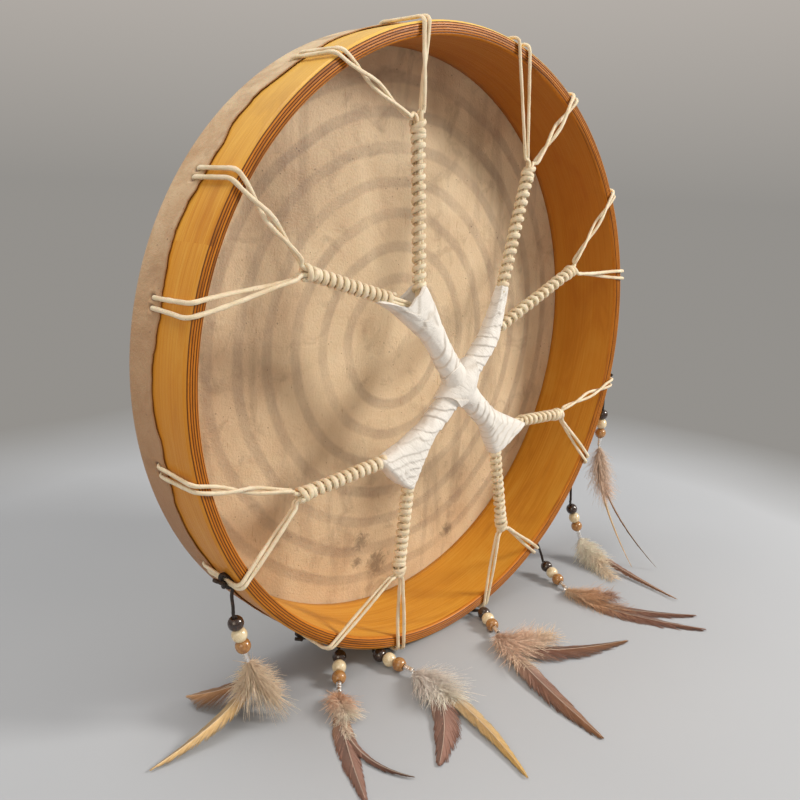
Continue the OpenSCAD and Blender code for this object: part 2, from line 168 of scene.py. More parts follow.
def smoothPath(points, count):  # Catmull-Rom curve through the points, at even steps
    p = np.asarray(points, float)
    p = np.concatenate([[2 * p[0] - p[1]], p, [2 * p[-1] - p[-2]]])
    fine = []
    for i in range(1, len(p) - 2):
        a, b, c, d = p[i - 1:i + 3]
        t = np.linspace(0, 1, fineSteps, endpoint=False)[:, None]
        square = 2 * a - 5 * b + 4 * c - d
        cube = 3 * b - a - 3 * c + d
        fine.append(0.5 * (2 * b + (c - a) * t + square * t**2 + cube * t**3))
    fine = np.concatenate(fine + [p[-2:-1]])
    run = lengthAlong(fine)
    return np.stack([np.interp(np.linspace(0, run[-1], count), run, fine[:, i]) for i in range(3)], 1)


def tubeData(path, wide, thick, sides=10, facing=None, lumps=0.0, seed=0.0, marks=None):
    path = np.asarray(path, float)
    ahead = unit(np.gradient(path, axis=0))
    if facing is None or np.ndim(facing) == 1:  # carried along from the first ring
        n = np.array(facing if facing is not None else (0.3, 0.2, 1.0), float)
        carried = []
        for t in ahead:
            n = unit(n - t * (n @ t))
            carried.append(n)
        facing = np.array(carried)
    facing = unit(facing - ahead * np.sum(facing * ahead, 1, keepdims=True))
    aside = np.cross(ahead, facing)
    wide = np.broadcast_to(wide, len(path))
    thick = np.broadcast_to(thick, len(path))
    rings = []
    for i, p in enumerate(path):
        swell = 1 + lumps * wander(seed + i * 0.35, seed * 1.7) if lumps else 1
        ring = []
        for j in range(sides):
            a = 2 * math.pi * j / sides
            bit = swell * (1 + 0.5 * lumps * wander(seed + i * 0.8, j * 1.3)) if lumps else 1
            ring.append(p + bit * (wide[i] * math.cos(a) * aside[i] + thick[i] * math.sin(a) * facing[i]))
        rings.append(ring)
    return loftData(rings, marks=marks)


# Materials
def addNode(tree, kind, inputs=None, **settings):
    made = tree.nodes.new("ShaderNode" + kind)
    for key, value in settings.items():
        setattr(made, key, value)
    for key, value in (inputs or {}).items():
        if isinstance(value, bpy.types.NodeSocket):
            tree.links.new(value, made.inputs[key])
        else:
            made.inputs[key].default_value = value
    return made


def startMaterial(name, sockets):
    material = bpy.data.materials.new(name)
    material.use_nodes = True
    tree = material.node_tree
    shader = tree.nodes["Principled BSDF"]
    for key, value in sockets.items():
        shader.inputs[key].default_value = value
    return material, tree, shader


def finishMaterial(tree, shader, colour, roughness=None, normal=None):
    for key, socket in (("Base Color", colour), ("Roughness", roughness), ("Normal", normal)):
        if socket is not None:
            tree.links.new(socket, shader.inputs[key])


def layOf(tree, x, y):  # place on the piece: x per metre along it, y per metre around it
    lay = addNode(tree, "Attribute", attribute_name="lay").outputs["Vector"]
    return addNode(tree, "Mapping", {"Vector": lay, "Scale": (x, y, 1)}).outputs[0]


def placeOf(tree, x=1.0, y=1.0, z=1.0):  # place in the drum's frame
    spot = addNode(tree, "TexCoord").outputs["Object"]
    return addNode(tree, "Mapping", {"Vector": spot, "Scale": (x, y, z)}).outputs[0]


def mark(tree, name):
    return addNode(tree, "Attribute", attribute_name=name).outputs["Fac"]


def grain(tree, place, scale, detail=4.0, roughness=0.6, twist=0.0):
    return addNode(tree, "TexNoise", {"Vector": place, "Scale": scale, "Detail": detail,
                                      "Roughness": roughness, "Distortion": twist}).outputs["Fac"]


def ramp(tree, value, stops):
    made = addNode(tree, "ValToRGB", {"Fac": value})
    band = made.color_ramp
    while len(band.elements) < len(stops):
        band.elements.new(0.5)
    for element, (at, colour) in zip(band.elements, stops):
        element.position = at
        element.color = (*colour, 1) if isinstance(colour, tuple) else (colour, colour, colour, 1)
    return made.outputs["Color"]


def mixed(tree, share, a, b, way="MIX"):
    made = addNode(tree, "Mix", data_type="RGBA", blend_type=way, clamp_factor=True)
    for index, value in ((0, share), (6, a), (7, b)):
        if isinstance(value, bpy.types.NodeSocket):
            tree.links.new(value, made.inputs[index])
        else:
            made.inputs[index].default_value = (*value, 1) if isinstance(value, tuple) else value
    return made.outputs[2]


def sums(tree, way, *values):
    return addNode(tree, "Math", dict(enumerate(values)), operation=way).outputs[0]


def bump(tree, height, distance, under=None):
    inputs = {"Height": height, "Distance": distance, "Strength": 1.0}
    if under is not None:
        inputs["Normal"] = under
    return addNode(tree, "Bump", inputs).outputs["Normal"]


# The last three colours are painted light and shade by height: shade lower on the outer wall, light at its
# top, shade at the top of the inner wall
plywoodLook = {
    "dark": (0.40, 0.115, 0.009), "mid": (0.66, 0.290, 0.028), "pale": (0.86, 0.53, 0.100),
    "inner": (0.73, 0.325, 0.024), "glue": (0.105, 0.028, 0.005), "edge": (0.68, 0.240, 0.014),
    "core": (0.45, 0.135, 0.007), "paintedLowShade": (0.63, 0.235, 0.024), "paintedTopLight": (0.92, 0.66, 0.170),
    "paintedInnerShade": (0.33, 0.070, 0.010),
}


def plywood():
    look = plywoodLook
    material, tree, shader = startMaterial("plywood", {"Coat Weight": 0.10, "Coat Roughness": 0.25,
                                                       "Specular IOR Level": 0.22})
    streaks = grain(tree, layOf(tree, 7, 700), 1.0, 7, 0.66, 0.6)
    pores = grain(tree, layOf(tree, 60, 3000), 1.0, 3)
    figure = grain(tree, layOf(tree, 9, 30), 1.0, 4, 0.55, 1.8)
    wood = ramp(tree, streaks, [(0.26, look["dark"]), (0.46, look["mid"]), (0.72, look["pale"])])
    wood = mixed(tree, 0.35, wood, look["mid"])
    wood = mixed(tree, ramp(tree, figure, [(0.30, 0.45), (0.46, 0.0)]), wood, look["pale"])
    wood = mixed(tree, ramp(tree, figure, [(0.52, 0.0), (0.70, 0.60)]), wood, look["dark"])
    wood = mixed(tree, ramp(tree, pores, [(0.60, 0.0), (0.72, 0.45)]), wood, look["core"])
    # Painted light by height: the outer veneer is darker and more red lower down as painted shade and paler
    # at the top as painted light, the inner one darker at the top as painted shade
    rise = sums(tree, "MULTIPLY", addNode(tree, "SeparateXYZ", {0: placeOf(tree)}).outputs["Z"], 2.5)
    inner = mark(tree, "innerSide")
    outerRise = sums(tree, "MULTIPLY", sums(tree, "SUBTRACT", 1.0, inner), rise)
    lowShadeShare = ramp(tree, outerRise, [(0.02, 0.0), (0.10, 0.55), (0.45, 0.62), (0.85, 0.0)])
    wood = mixed(tree, lowShadeShare, wood, look["paintedLowShade"])
    wood = mixed(tree, ramp(tree, outerRise, [(0.72, 0.0), (0.98, 0.60)]), wood, look["paintedTopLight"])
    wood = mixed(tree, sums(tree, "MULTIPLY", inner, 0.45), wood, look["inner"])
    innerRise = sums(tree, "MULTIPLY", inner, rise)
    # painted shade: the inner wall darker towards its top
    wood = mixed(tree, ramp(tree, innerRise, [(0.12, 0.0), (0.80, 0.62)]), wood, look["paintedInnerShade"])
    # Glue lines show on the rear edge only, and the outermost ply is as pale as the wall
    sway = grain(tree, layOf(tree, 26, 0), 1.0, 3)
    line = sums(tree, "ADD", mark(tree, "plyPlace"), sums(tree, "MULTIPLY_ADD", sway, 0.46, -0.23))
    part = sums(tree, "FRACT", sums(tree, "ADD", line, 0.5))
    gap = sums(tree, "ABSOLUTE", sums(tree, "SUBTRACT", part, 0.5))
    fleck = grain(tree, layOf(tree, 300, 3000), 1.0, 3)
    odd = sums(tree, "GREATER_THAN", sums(tree, "FRACT", sums(tree, "MULTIPLY", line, 0.5)), 0.5)
    cut = mixed(tree, sums(tree, "MULTIPLY", odd, 0.6), look["edge"], look["core"])
    cut = mixed(tree, ramp(tree, fleck, [(0.38, 0.55), (0.7, 0.0)]), cut, look["dark"])
    scorch = grain(tree, layOf(tree, 16, 420), 1.0, 4, 0.6, 0.5)
    cut = mixed(tree, ramp(tree, scorch, [(0.50, 0.0), (0.66, 0.62)]), cut, look["glue"])
    cut = mixed(tree, sums(tree, "GREATER_THAN", line, drum["plies"] - 1.0), cut, wood)
    halfWay = drum["plies"] / 2
    within = sums(tree, "ABSOLUTE", sums(tree, "ADD", line, -halfWay))
    within = sums(tree, "LESS_THAN", within, halfWay - 0.4)
    glued = sums(tree, "MULTIPLY", ramp(tree, gap, [(0.11, 0.95), (0.29, 0.0)]), within)
    layers = mixed(tree, glued, cut, look["glue"])
    colour = mixed(tree, mark(tree, "rearEdge"), wood, layers)
    rough = ramp(tree, streaks, [(0.3, 0.50), (0.7, 0.36)])
    finishMaterial(tree, shader, colour, rough, bump(tree, pores, 0.00012, bump(tree, streaks, 0.0002)))
    return material


hideLook = {
    "pale": (0.73, 0.585, 0.395), "mid": (0.585, 0.430, 0.260), "brown": (0.37, 0.20, 0.095),
    # The specks' dark colour also fills the lace holes as painted shade
    "smudge": (0.27, 0.18, 0.115), "speckAndHoleShade": (0.07, 0.035, 0.02), "ring": (0.30, 0.215, 0.155),
    # tan is painted shade on the lap, darker towards the floor
    "tan": (0.36, 0.160, 0.066), "dirt": (0.11, 0.078, 0.055),
    "stains": ((-29, -144, 8), (-12, -165, 11), (-32, -159, 6), (66, -161, 7)),  # across, up, radius
    "rings": 7, "ringFrom": 0.200, "ringStep": 0.108, "ringWide": 0.036,  # shares of 200 mm
}


def headDistance(tree, spot, x, up):  # from a place on the head, given in millimetres from its middle
    place = (-x / 1000, 0, -(drum["middleUp"] + up) / 1000)
    flat = addNode(tree, "Mapping", {"Vector": spot, "Location": place, "Scale": (1, 0, 1)}).outputs[0]
    return addNode(tree, "VectorMath", {0: flat}, operation="LENGTH").outputs["Value"]


def hide():
    look = hideLook
    material, tree, shader = startMaterial("hide", {"Specular IOR Level": 0.35, "Subsurface Weight": 0.06,
                                                    "Subsurface Scale": 0.002})
    spot = placeOf(tree)
    clouds = grain(tree, spot, 17, 5, 0.6, 0.5)
    blots = grain(tree, spot, 48, 4, 0.62, 0.8)
    pebble = grain(tree, spot, 1300, 3, 0.5)
    weave = grain(tree, spot, 620, 2, 0.5)
    colour = ramp(tree, clouds, [(0.30, look["brown"]), (0.46, look["mid"]), (0.64, look["pale"])])
    colour = mixed(tree, 0.55, colour, look["pale"])
    colour = mixed(tree, ramp(tree, blots, [(0.55, 0.0), (0.72, 0.42)]), colour, look["smudge"])
    drips = grain(tree, placeOf(tree, 46, 12, 9), 1.0, 5, 0.6, 0.5)
    colour = mixed(tree, ramp(tree, drips, [(0.54, 0.0), (0.74, 0.5)]), colour, look["smudge"])
    # Painted shade: the lap on the wall is darker towards the floor
    height = addNode(tree, "SeparateXYZ", {0: spot}).outputs["Z"]
    paintedLapShade = ramp(tree, sums(tree, "MULTIPLY", height, 2.5), [(0.12, 0.95), (0.52, 0.62), (0.96, 0.0)])
    paintedLapShade = sums(tree, "MULTIPLY", paintedLapShade, sums(tree, "SUBTRACT", 1.0, mark(tree, "head")))
    colour = mixed(tree, paintedLapShade, colour, look["tan"])
    lap = sums(tree, "MULTIPLY", ramp(tree, grain(tree, spot, 33, 6, 0.7, 0.6), [(0.44, 0.0), (0.66, 0.55)]),
               sums(tree, "SUBTRACT", 1.0, mark(tree, "head")))
    colour = mixed(tree, lap, colour, look["brown"])
    # Plain rings stained round the middle of the head
    away = headDistance(tree, spot, 0, 0)
    wave = sums(tree, "MULTIPLY_ADD", grain(tree, spot, 18, 4), 0.034, -0.017)
    share = sums(tree, "MULTIPLY_ADD", away, 1000 / drum["outerR"], wave)
    stops = [(0.0, 0.0)]
    for n in range(look["rings"]):
        start = look["ringFrom"] + n * look["ringStep"]
        stops += [(start, 0.0), (start + look["ringWide"] * 0.25, 0.9), (start + look["ringWide"], 0.75),
                  (start + look["ringWide"] * 1.25, 0.0)]
    stain = ramp(tree, share, stops)
    worn = ramp(tree, grain(tree, spot, 26, 5, 0.7), [(0.32, 0.16), (0.68, 0.66)])
    stain = sums(tree, "MULTIPLY", sums(tree, "MULTIPLY", stain, worn), mark(tree, "head"))
    colour = mixed(tree, stain, colour, look["ring"])
    blotch = grain(tree, spot, 150, 6, 0.72, 1.0)
    for x, up, radius in look["stains"]:
        away = headDistance(tree, spot, x, up)
        near = sums(tree, "MULTIPLY_ADD", away, 500 / radius, sums(tree, "MULTIPLY_ADD", blotch, 1.6, -0.8))
        soiled = sums(tree, "MULTIPLY", ramp(tree, near, [(0.12, 0.62), (0.50, 0.0)]), mark(tree, "head"))
        colour = mixed(tree, soiled, colour, look["dirt"])
    # Follicles and short hairs; painted shade in the pleats' troughs and in the lace holes; the cut edge
    # darker, partly dirt and partly painted shade under its curl
    specks = addNode(tree, "TexVoronoi", {"Vector": spot, "Scale": 215, "Randomness": 1.0})
    size = grain(tree, spot, 60, 2)
    dot = sums(tree, "LESS_THAN", specks.outputs["Distance"], sums(tree, "MULTIPLY_ADD", size, 0.5, -0.2))
    colour = mixed(tree, sums(tree, "MULTIPLY", dot, 0.50), colour, look["speckAndHoleShade"])
    hairs = grain(tree, placeOf(tree, 900, 300, 90), 1.0, 2, 0.4, 1.2)
    colour = mixed(tree, ramp(tree, hairs, [(0.70, 0.0), (0.76, 0.55)]), colour, look["brown"])
    # painted shade in the pleats' troughs
    colour = mixed(tree, sums(tree, "MULTIPLY", mark(tree, "fold"), 0.55), colour, look["brown"])
    # cut edge: partly dirt, partly painted shade
    colour = mixed(tree, sums(tree, "MULTIPLY", mark(tree, "cutEdge"), 0.8), colour, look["brown"])
    # painted shade in the lace holes
    colour = mixed(tree, mark(tree, "hole"), colour, look["speckAndHoleShade"])
    rough = ramp(tree, clouds, [(0.3, 0.5), (0.7, 0.68)])
    fine = bump(tree, pebble, 0.00022, bump(tree, weave, 0.00035))
    finishMaterial(tree, shader, colour, rough, bump(tree, blots, 0.0006, fine))
    return material


laceLook = {"pale": (0.86, 0.76, 0.57), "mid": (0.73, 0.59, 0.39), "dirt": (0.32, 0.20, 0.11)}


def lace():
    look = laceLook
    material, tree, shader = startMaterial("lace", {"Specular IOR Level": 0.4, "Subsurface Weight": 0.08,
                                                    "Subsurface Scale": 0.0012})
    runs = grain(tree, layOf(tree, 90, 1500), 1.0, 5, 0.6)
    patches = grain(tree, placeOf(tree), 70, 4, 0.6)
    specks = grain(tree, placeOf(tree), 620, 3)
    colour = ramp(tree, patches, [(0.32, look["mid"]), (0.6, look["pale"])])
    colour = mixed(tree, ramp(tree, runs, [(0.52, 0.0), (0.7, 0.5)]), colour, look["mid"])
    colour = mixed(tree, ramp(tree, specks, [(0.63, 0.0), (0.74, 0.6)]), colour, look["dirt"])
    rough = ramp(tree, patches, [(0.3, 0.46), (0.7, 0.62)])
    finishMaterial(tree, shader, colour, rough, bump(tree, specks, 0.00015, bump(tree, runs, 0.0004)))
    return material


# The crease colour is partly dirt, partly painted shade
whiteLook = {"white": (0.89, 0.862, 0.815), "cool": (0.81, 0.785, 0.74), "crease": (0.50, 0.43, 0.35)}


def whiteLeather():
    look = whiteLook
    material, tree, shader = startMaterial("whiteLeather", {"Specular IOR Level": 0.25, "Sheen Weight": 0.25,
                                                            "Sheen Roughness": 0.5})
    spot = placeOf(tree)
    patches = grain(tree, spot, 45, 4, 0.55)
    nap = grain(tree, spot, 1700, 4, 0.6)
    fibres = grain(tree, layOf(tree, 1500, 260), 1.0, 4, 0.6, 0.7)
    wrinkles = grain(tree, layOf(tree, 330, 90), 1.0, 4, 0.6, 1.4)
    colour = ramp(tree, patches, [(0.33, look["cool"]), (0.62, look["white"])])
    colour = mixed(tree, ramp(tree, fibres, [(0.5, 0.0), (0.72, 0.4)]), colour, look["cool"])
    # lap edges, fan folds, the mouth's inside and the sleeve ends darkened: partly dirt, partly painted shade
    colour = mixed(tree, sums(tree, "MULTIPLY", mark(tree, "crease"), 0.4), colour, look["crease"])
    rough = ramp(tree, nap, [(0.3, 0.78), (0.7, 0.92)])
    fine = bump(tree, nap, 0.00014, bump(tree, fibres, 0.00016))
    finishMaterial(tree, shader, colour, rough, bump(tree, wrinkles, 0.0008, fine))
    return material


def darkThong():
    material, tree, shader = startMaterial("thong", {"Specular IOR Level": 0.5})
    runs = grain(tree, placeOf(tree), 260, 5, 0.65)
    nap = grain(tree, placeOf(tree), 1900, 3)
    colour = ramp(tree, runs, [(0.34, (0.010, 0.007, 0.006)), (0.56, (0.026, 0.016, 0.012)),
                               (0.74, (0.085, 0.050, 0.032))])
    rough = ramp(tree, runs, [(0.3, 0.42), (0.7, 0.66)])
    finishMaterial(tree, shader, colour, rough, bump(tree, nap, 0.00012, bump(tree, runs, 0.0003)))
    return material


beadLooks = {
    "dark_wood": {"tones": ((0.014, 0.007, 0.005), (0.034, 0.016, 0.010), (0.070, 0.032, 0.017)),
                  "gloss": 0.18},
    "cream_wood": {"tones": ((0.66, 0.50, 0.28), (0.82, 0.69, 0.45), (0.90, 0.80, 0.58)), "gloss": 0.24},
    "tan_wood": {"tones": ((0.27, 0.110, 0.028), (0.41, 0.195, 0.058), (0.52, 0.28, 0.095)), "gloss": 0.18},
}


def beadWood(slot):
    look = beadLooks[slot]
    name = slot.replace("_w", "W")
    material, tree, shader = startMaterial(name, {"Coat Weight": 0.7, "Coat Roughness": 0.08})
    rings = grain(tree, placeOf(tree, 900, 260, 420), 1.0, 4, 0.6, 0.9)
    pores = grain(tree, placeOf(tree, 3000, 900, 900), 1.0, 3)
    colour = ramp(tree, rings, list(zip((0.32, 0.5, 0.68), look["tones"])))
    colour = mixed(tree, ramp(tree, pores, [(0.6, 0.0), (0.75, 0.6)]), colour, look["tones"][0])
    rough = ramp(tree, rings, [(0.3, look["gloss"] + 0.12), (0.7, look["gloss"])])
    finishMaterial(tree, shader, colour, rough, bump(tree, pores, 0.00008))
    return material


def crimpMetal():
    material, tree, shader = startMaterial("crimpMetal", {"Metallic": 1.0})
    scratch = grain(tree, layOf(tree, 200, 5200), 1.0, 4, 0.7)
    stain = grain(tree, placeOf(tree), 520, 4)
    colour = ramp(tree, stain, [(0.32, (0.34, 0.33, 0.32)), (0.42, (0.97, 0.96, 0.95))])
    rough = ramp(tree, scratch, [(0.35, 0.22), (0.68, 0.38)])
    finishMaterial(tree, shader, colour, rough, bump(tree, scratch, 0.00005))
    return material


def featherBarbs():
    material, tree, shader = startMaterial("featherBarbs", {"Specular IOR Level": 0.12, "Roughness": 0.75,
                                                            "Sheen Weight": 0.12, "Sheen Roughness": 0.5})
    tint = addNode(tree, "Attribute", attribute_name="tint").outputs["Color"]
    mottle = grain(tree, placeOf(tree), 210, 4, 0.65)
    colour = mixed(tree, 1.0, tint, ramp(tree, mottle, [(0.3, 0.88), (0.65, 1.0)]), "MULTIPLY")
    finishMaterial(tree, shader, colour)
    return material


def paleFloor():
    material, tree, shader = startMaterial("paleFloor", {"Roughness": 0.75, "Specular IOR Level": 0.2})
    away = addNode(tree, "VectorMath", {0: placeOf(tree)}, operation="LENGTH").outputs["Value"]
    mist = grain(tree, placeOf(tree), 3.0, 2)
    reach = sums(tree, "MULTIPLY_ADD", mist, 0.10, sums(tree, "ADD", away, -0.05))
    colour = ramp(tree, mist, [(0.35, (0.402, 0.428, 0.466)), (0.65, (0.422, 0.448, 0.486))])
    finishMaterial(tree, shader, colour)
    # Far off the floor turns into the plain backdrop
    glow = addNode(tree, "Emission", {"Color": (*studio["sky"], 1), "Strength": 1.0})
    joined = addNode(tree, "MixShader", {0: ramp(tree, reach, [(0.44, 0.0), (0.66, 1.0)]),
                                         1: shader.outputs[0], 2: glow.outputs[0]})
    tree.links.new(joined.outputs[0], tree.nodes["Material Output"].inputs["Surface"])
    return material


looks = {"plywood": plywood(), "hide": hide(), "lace": lace(), "white_leather": whiteLeather(),
         "thong": darkThong(), "crimp_metal": crimpMetal(), "feather": featherBarbs()}
for woodSlot in beadLooks:
    looks[woodSlot] = beadWood(woodSlot)
print("materials ready:", len(looks))


def settle(obj, body, slot, *nodes):
    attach(obj, body)
    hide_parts(*nodes)
    return obj


# Charms, in millimetres in the part's frame: the knot, the thong's start and its bends from the knot, the
# middle of the dark bead, the way of the row of beads, and the thong's length
charms = [
    {"knot": (-171.12, -12.83, 92.82), "start": (-167.864, -12.825, 87.664), "dark": (-166.92, -14.83, 66.12),
     "row": (0.2756, 0, -0.9613), "bends": ((2.8, -0.6, -10), (2.9, -1.6, -16.5)), "long": 48.0,
     "lay": "hanging"},
    {"knot": (-108.18, -0.83, 29.88), "start": (-103.024, -0.825, 26.617), "dark": (-86.88, -11.83, 10),
     "row": (-0.6306, -0.7255, -0.2756), "bends": ((10, -1.5, -5), (17.5, -3.4, -9.6), (24.6, -5.3, -16.1)),
     "long": 58.7, "lay": "loose"},
    {"knot": (-44.51, -12.83, 3.50), "start": (-50.459, -12.825, 4.844), "dark": (-60.01, -21.83, 4.8),
     "row": (0.1219, -0.9925, 0), "bends": ((-9.6, 0, 1.3), (-13.6, -0.8, 1.4), (-15.6, -3, 1.4)),
     "long": 42.7, "lay": "loose"},
    {"knot": (44.51, -14.83, 3.50), "start": (38.557, -14.825, 2.162), "dark": (35.51, -32.83, 4.8),
     "row": (-0.5, -0.866, 0), "long": 46.7, "lay": "loose",
     "bends": ((-7.6, -0.7, -1.2), (-8.8, -3.4, -1.2), (-8.6, -8, -0.9), (-7.4, -12, 0.4))},
    {"knot": (108.18, -10.83, 29.88), "start": (113.336, -10.825, 33.136), "dark": (127.88, -22.83, 9.2),
     "row": (-0.3159, -0.9174, -0.2419), "long": 63.6, "lay": "loose",
     "bends": ((7.6, -0.2, 4.2), (12.6, -1.2, 2.6), (17, -3, -3), (20, -5, -11), (21.2, -6.6, -16.6))},
    {"knot": (171.12, -12.83, 92.82), "start": (167.864, -12.825, 87.664), "dark": (170.92, -14.83, 46.12),
     "row": (0.2418, -0.2418, -0.9397), "long": 68.0, "lay": "hanging",
     "bends": ((-3, 0, -11), (-2.6, -0.2, -20), (-2, -0.5, -30), (-1.4, -0.8, -38))},
    {"knot": (197.50, -17.83, 156.49), "start": (196.156, -17.825, 150.541), "dark": (199.9, -17.83, 125.99),
     "row": (0, 0, -1), "bends": ((0.2, 0, -10), (1.8, 0, -16), (2.3, 0, -21.5)), "long": 51.2,
     "lay": "hanging"},
]
charmSizes = {"beadLong": 8.0, "beadWide": 9.2, "boreR": 1.25, "beadSpace": 0.3, "thong": 2.0, "held": 5.0,
              "points": 30}
beadPitch = charmSizes["beadLong"] + charmSizes["beadSpace"]
rowEnd = 2.5 * beadPitch + charmSizes["beadSpace"] / 2  # start of the crimp, from the dark bead's middle


def rowPlace(charm, along):  # along the row of beads, from the dark bead's middle
    return np.array(charm["dark"]) + along * unit(charm["row"])


def thongPath(charm):
    size = charmSizes
    start, knot = np.array(charm["start"]), np.array(charm["knot"])
    tangent = unit(np.array([start[0] - knot[0], 0, start[2] - knot[2]]))
    route = [start, start + tangent] + [knot + np.array(b) for b in charm["bends"]]
    route += [rowPlace(charm, -beadPitch / 2 - size["beadSpace"] / 2), rowPlace(charm, beadPitch),
              rowPlace(charm, rowEnd + size["held"])]
    return smoothPath(np.array(route) / 1000, size["points"])


def makeThong(i, charm):
    path = thongPath(charm)
    data = bpy.data.curves.new("thongCord_%d" % i, "CURVE")
    data.dimensions = "3D"
    data.bevel_depth = charmSizes["thong"] / 2000
    data.bevel_resolution = 4
    data.use_fill_caps = True
    line = data.splines.new("POLY")
    line.points.add(len(path) - 1)
    for point, p in zip(line.points, path):
        point.co = (*p, 1)
        point.radius = 1 + 0.06 * wander(p[0] * 400, p[2] * 400, i)
    data.materials.append(looks["thong"])
    obj = bpy.data.objects.new(data.name, data)
    bpy.context.scene.collection.objects.link(obj)
    return settle(obj, "charm_%d" % i, "thong", "thong_%d" % i)


def lathe(profile, place, axis, sides=40, seed=0.0, lumps=0.0):  # profile of (radius, along) in millimetres
    axis = unit(axis)
    aside = unit(np.cross(axis, (0.31, 0.52, 0.8)))
    other = np.cross(axis, aside)
    rings = []
    for radius, along in profile:
        ring = []
        for j in range(sides):
            a = 2 * math.pi * j / sides
            r = radius * (1 + lumps * wander(math.cos(a) + seed, math.sin(a), along * 0.2))
            spoke = math.cos(a) * aside + math.sin(a) * other
            ring.append((np.array(place) + along * axis + r * spoke) / 1000)
        rings.append(ring)
    return loftData(rings, caps=False, along=True)


def makeBead(i, charm, row, slot, node):
    size = charmSizes
    half, bore, ball = size["beadLong"] / 2, size["boreR"], size["beadWide"] / 2
    profile = [(bore, -half + 0.5), (bore + 0.25, -half + 0.1), (bore + 0.7, -half)]
    for a in np.linspace(-62, 62, 21):
        profile.append((ball * math.cos(math.radians(a)) ** 0.92, ball * math.sin(math.radians(a)) * 0.985))
    profile += [(bore + 0.7, half), (bore + 0.25, half - 0.1), (bore, half - 0.5), (bore, 0)]
    place = rowPlace(charm, row * beadPitch)
    part = lathe(profile, place, charm["row"], seed=i * 3.1 + row, lumps=0.018)
    return settle(addParts("bead_%s_%d" % (slot[:-5], i), [part], looks[slot]), "charm_%d" % i, slot, node)


# Crimp: a metal tube, pressed in twice round its middle
crimpShape = {"long": 7.0, "wide": 2.9, "wall": 0.35, "mouthR": 1.22, "boreR": 1.2, "press": 0.16,
              "pressAt": (2.6, 4.4), "pressWide": 0.5}


def makeCrimp(i, charm):
    shape, long, mouth = crimpShape, crimpShape["long"], crimpShape["mouthR"]
    r = shape["wide"] / 2 + shape["wall"]
    outline = [(mouth, 0.25), (r - 0.1, 0), (r + 0.05, 0.3)]
    for at in np.linspace(0.8, long - 0.8, 18):
        press = sum(math.exp(-((at - p) / shape["pressWide"]) ** 2) for p in shape["pressAt"])
        outline.append((r - shape["press"] * press, at))
    outline += [(r + 0.05, long - 0.3), (r - 0.1, long), (mouth, long - 0.25), (shape["boreR"], long / 2)]
    part = lathe(outline, rowPlace(charm, rowEnd), charm["row"], sides=32, seed=i, lumps=0.012)
    return settle(addParts("crimpTube_%d" % i, [part], looks["crimp_metal"]), "charm_%d" % i, "crimp_metal",
                  "crimp_%d" % i)


for i, charm in enumerate(charms, 1):
    cord = makeThong(i, charm)
    onCord = [makeBead(i, charm, 0, "dark_wood", "dark_bead_%d" % i),
              makeBead(i, charm, 1, "cream_wood", "cream_bead_%d" % i),
              makeBead(i, charm, 2, "tan_wood", "tan_bead_%d" % i), makeCrimp(i, charm)]
print("cords and beads made")


# Hoop: bent plywood, rounded at the rear, with a groove along each glue line
hoopShape = {"segments": 540, "rearRound": 2.6, "frontRound": 7.0, "groove": 0.26, "grooveHalf": 0.26,
             "plainEdge": 0.4, "breathe": 0.12, "seamAt": 158}


def rearDepth(r):  # how far the rear edge lies in front of its highest line, at radius r
    shape, inner = hoopShape, drum["outerR"] - drum["wall"]
    depth = 0.0
    for corner, sign in ((drum["outerR"], 1), (inner, -1)):
        past = shape["rearRound"] - sign * (corner - r)
        if past > 0:
            depth = shape["rearRound"] - math.sqrt(max(shape["rearRound"] ** 2 - past ** 2, 0))
    ply = drum["wall"] / drum["plies"]
    off = abs((r - inner) / ply - round((r - inner) / ply)) * ply
    if shape["plainEdge"] < r - inner < drum["wall"] - shape["plainEdge"]:
        depth += shape["groove"] * max(0, 1 - off / shape["grooveHalf"])
    return depth


def makeHoop():
    shape, outer = hoopShape, drum["outerR"]
    inner, front = outer - drum["wall"], drum["depth"]
    outside = np.linspace(front - shape["frontRound"], shape["rearRound"] + 0.3, 12)
    profile = [(outer, d, 0, 0) for d in outside]
    profile += [(r, rearDepth(r), 1, 0) for r in np.linspace(outer - 0.02, inner + 0.02, 85)]
    profile += [(inner, d, 0, 1) for d in np.linspace(shape["rearRound"] + 0.3, front - 0.3, 14)]
    for a in np.linspace(0, 80, 8):
        c = math.radians(a)
        profile.append((outer - shape["frontRound"] * (1 - math.sin(c)),
                        front - shape["frontRound"] * (1 - math.cos(c)), 0, 0))
    rings, marks = [], {"rearEdge": [], "plyPlace": [], "innerSide": []}
    for s in range(shape["segments"]):
        angle = shape["seamAt"] + 360 * s / shape["segments"]
        turn = math.radians(angle)
        breathe = shape["breathe"] * wander(math.cos(turn) * 2, math.sin(turn) * 2)
        rings.append([onRim(r + breathe * (r > inner + 1), angle, d) for r, d, _, _ in profile])
        marks["rearEdge"].append([p[2] for p in profile])
        marks["innerSide"].append([p[3] for p in profile])
        marks["plyPlace"].append([(p[0] - inner) / drum["wall"] * drum["plies"] for p in profile])
    hoop = addParts("bentHoop", [loftData(rings, along=True, marks=marks)], looks["plywood"])
    return settle(hoop, "drum", "plywood", "hoop")


makeHoop()
print("hoop made")

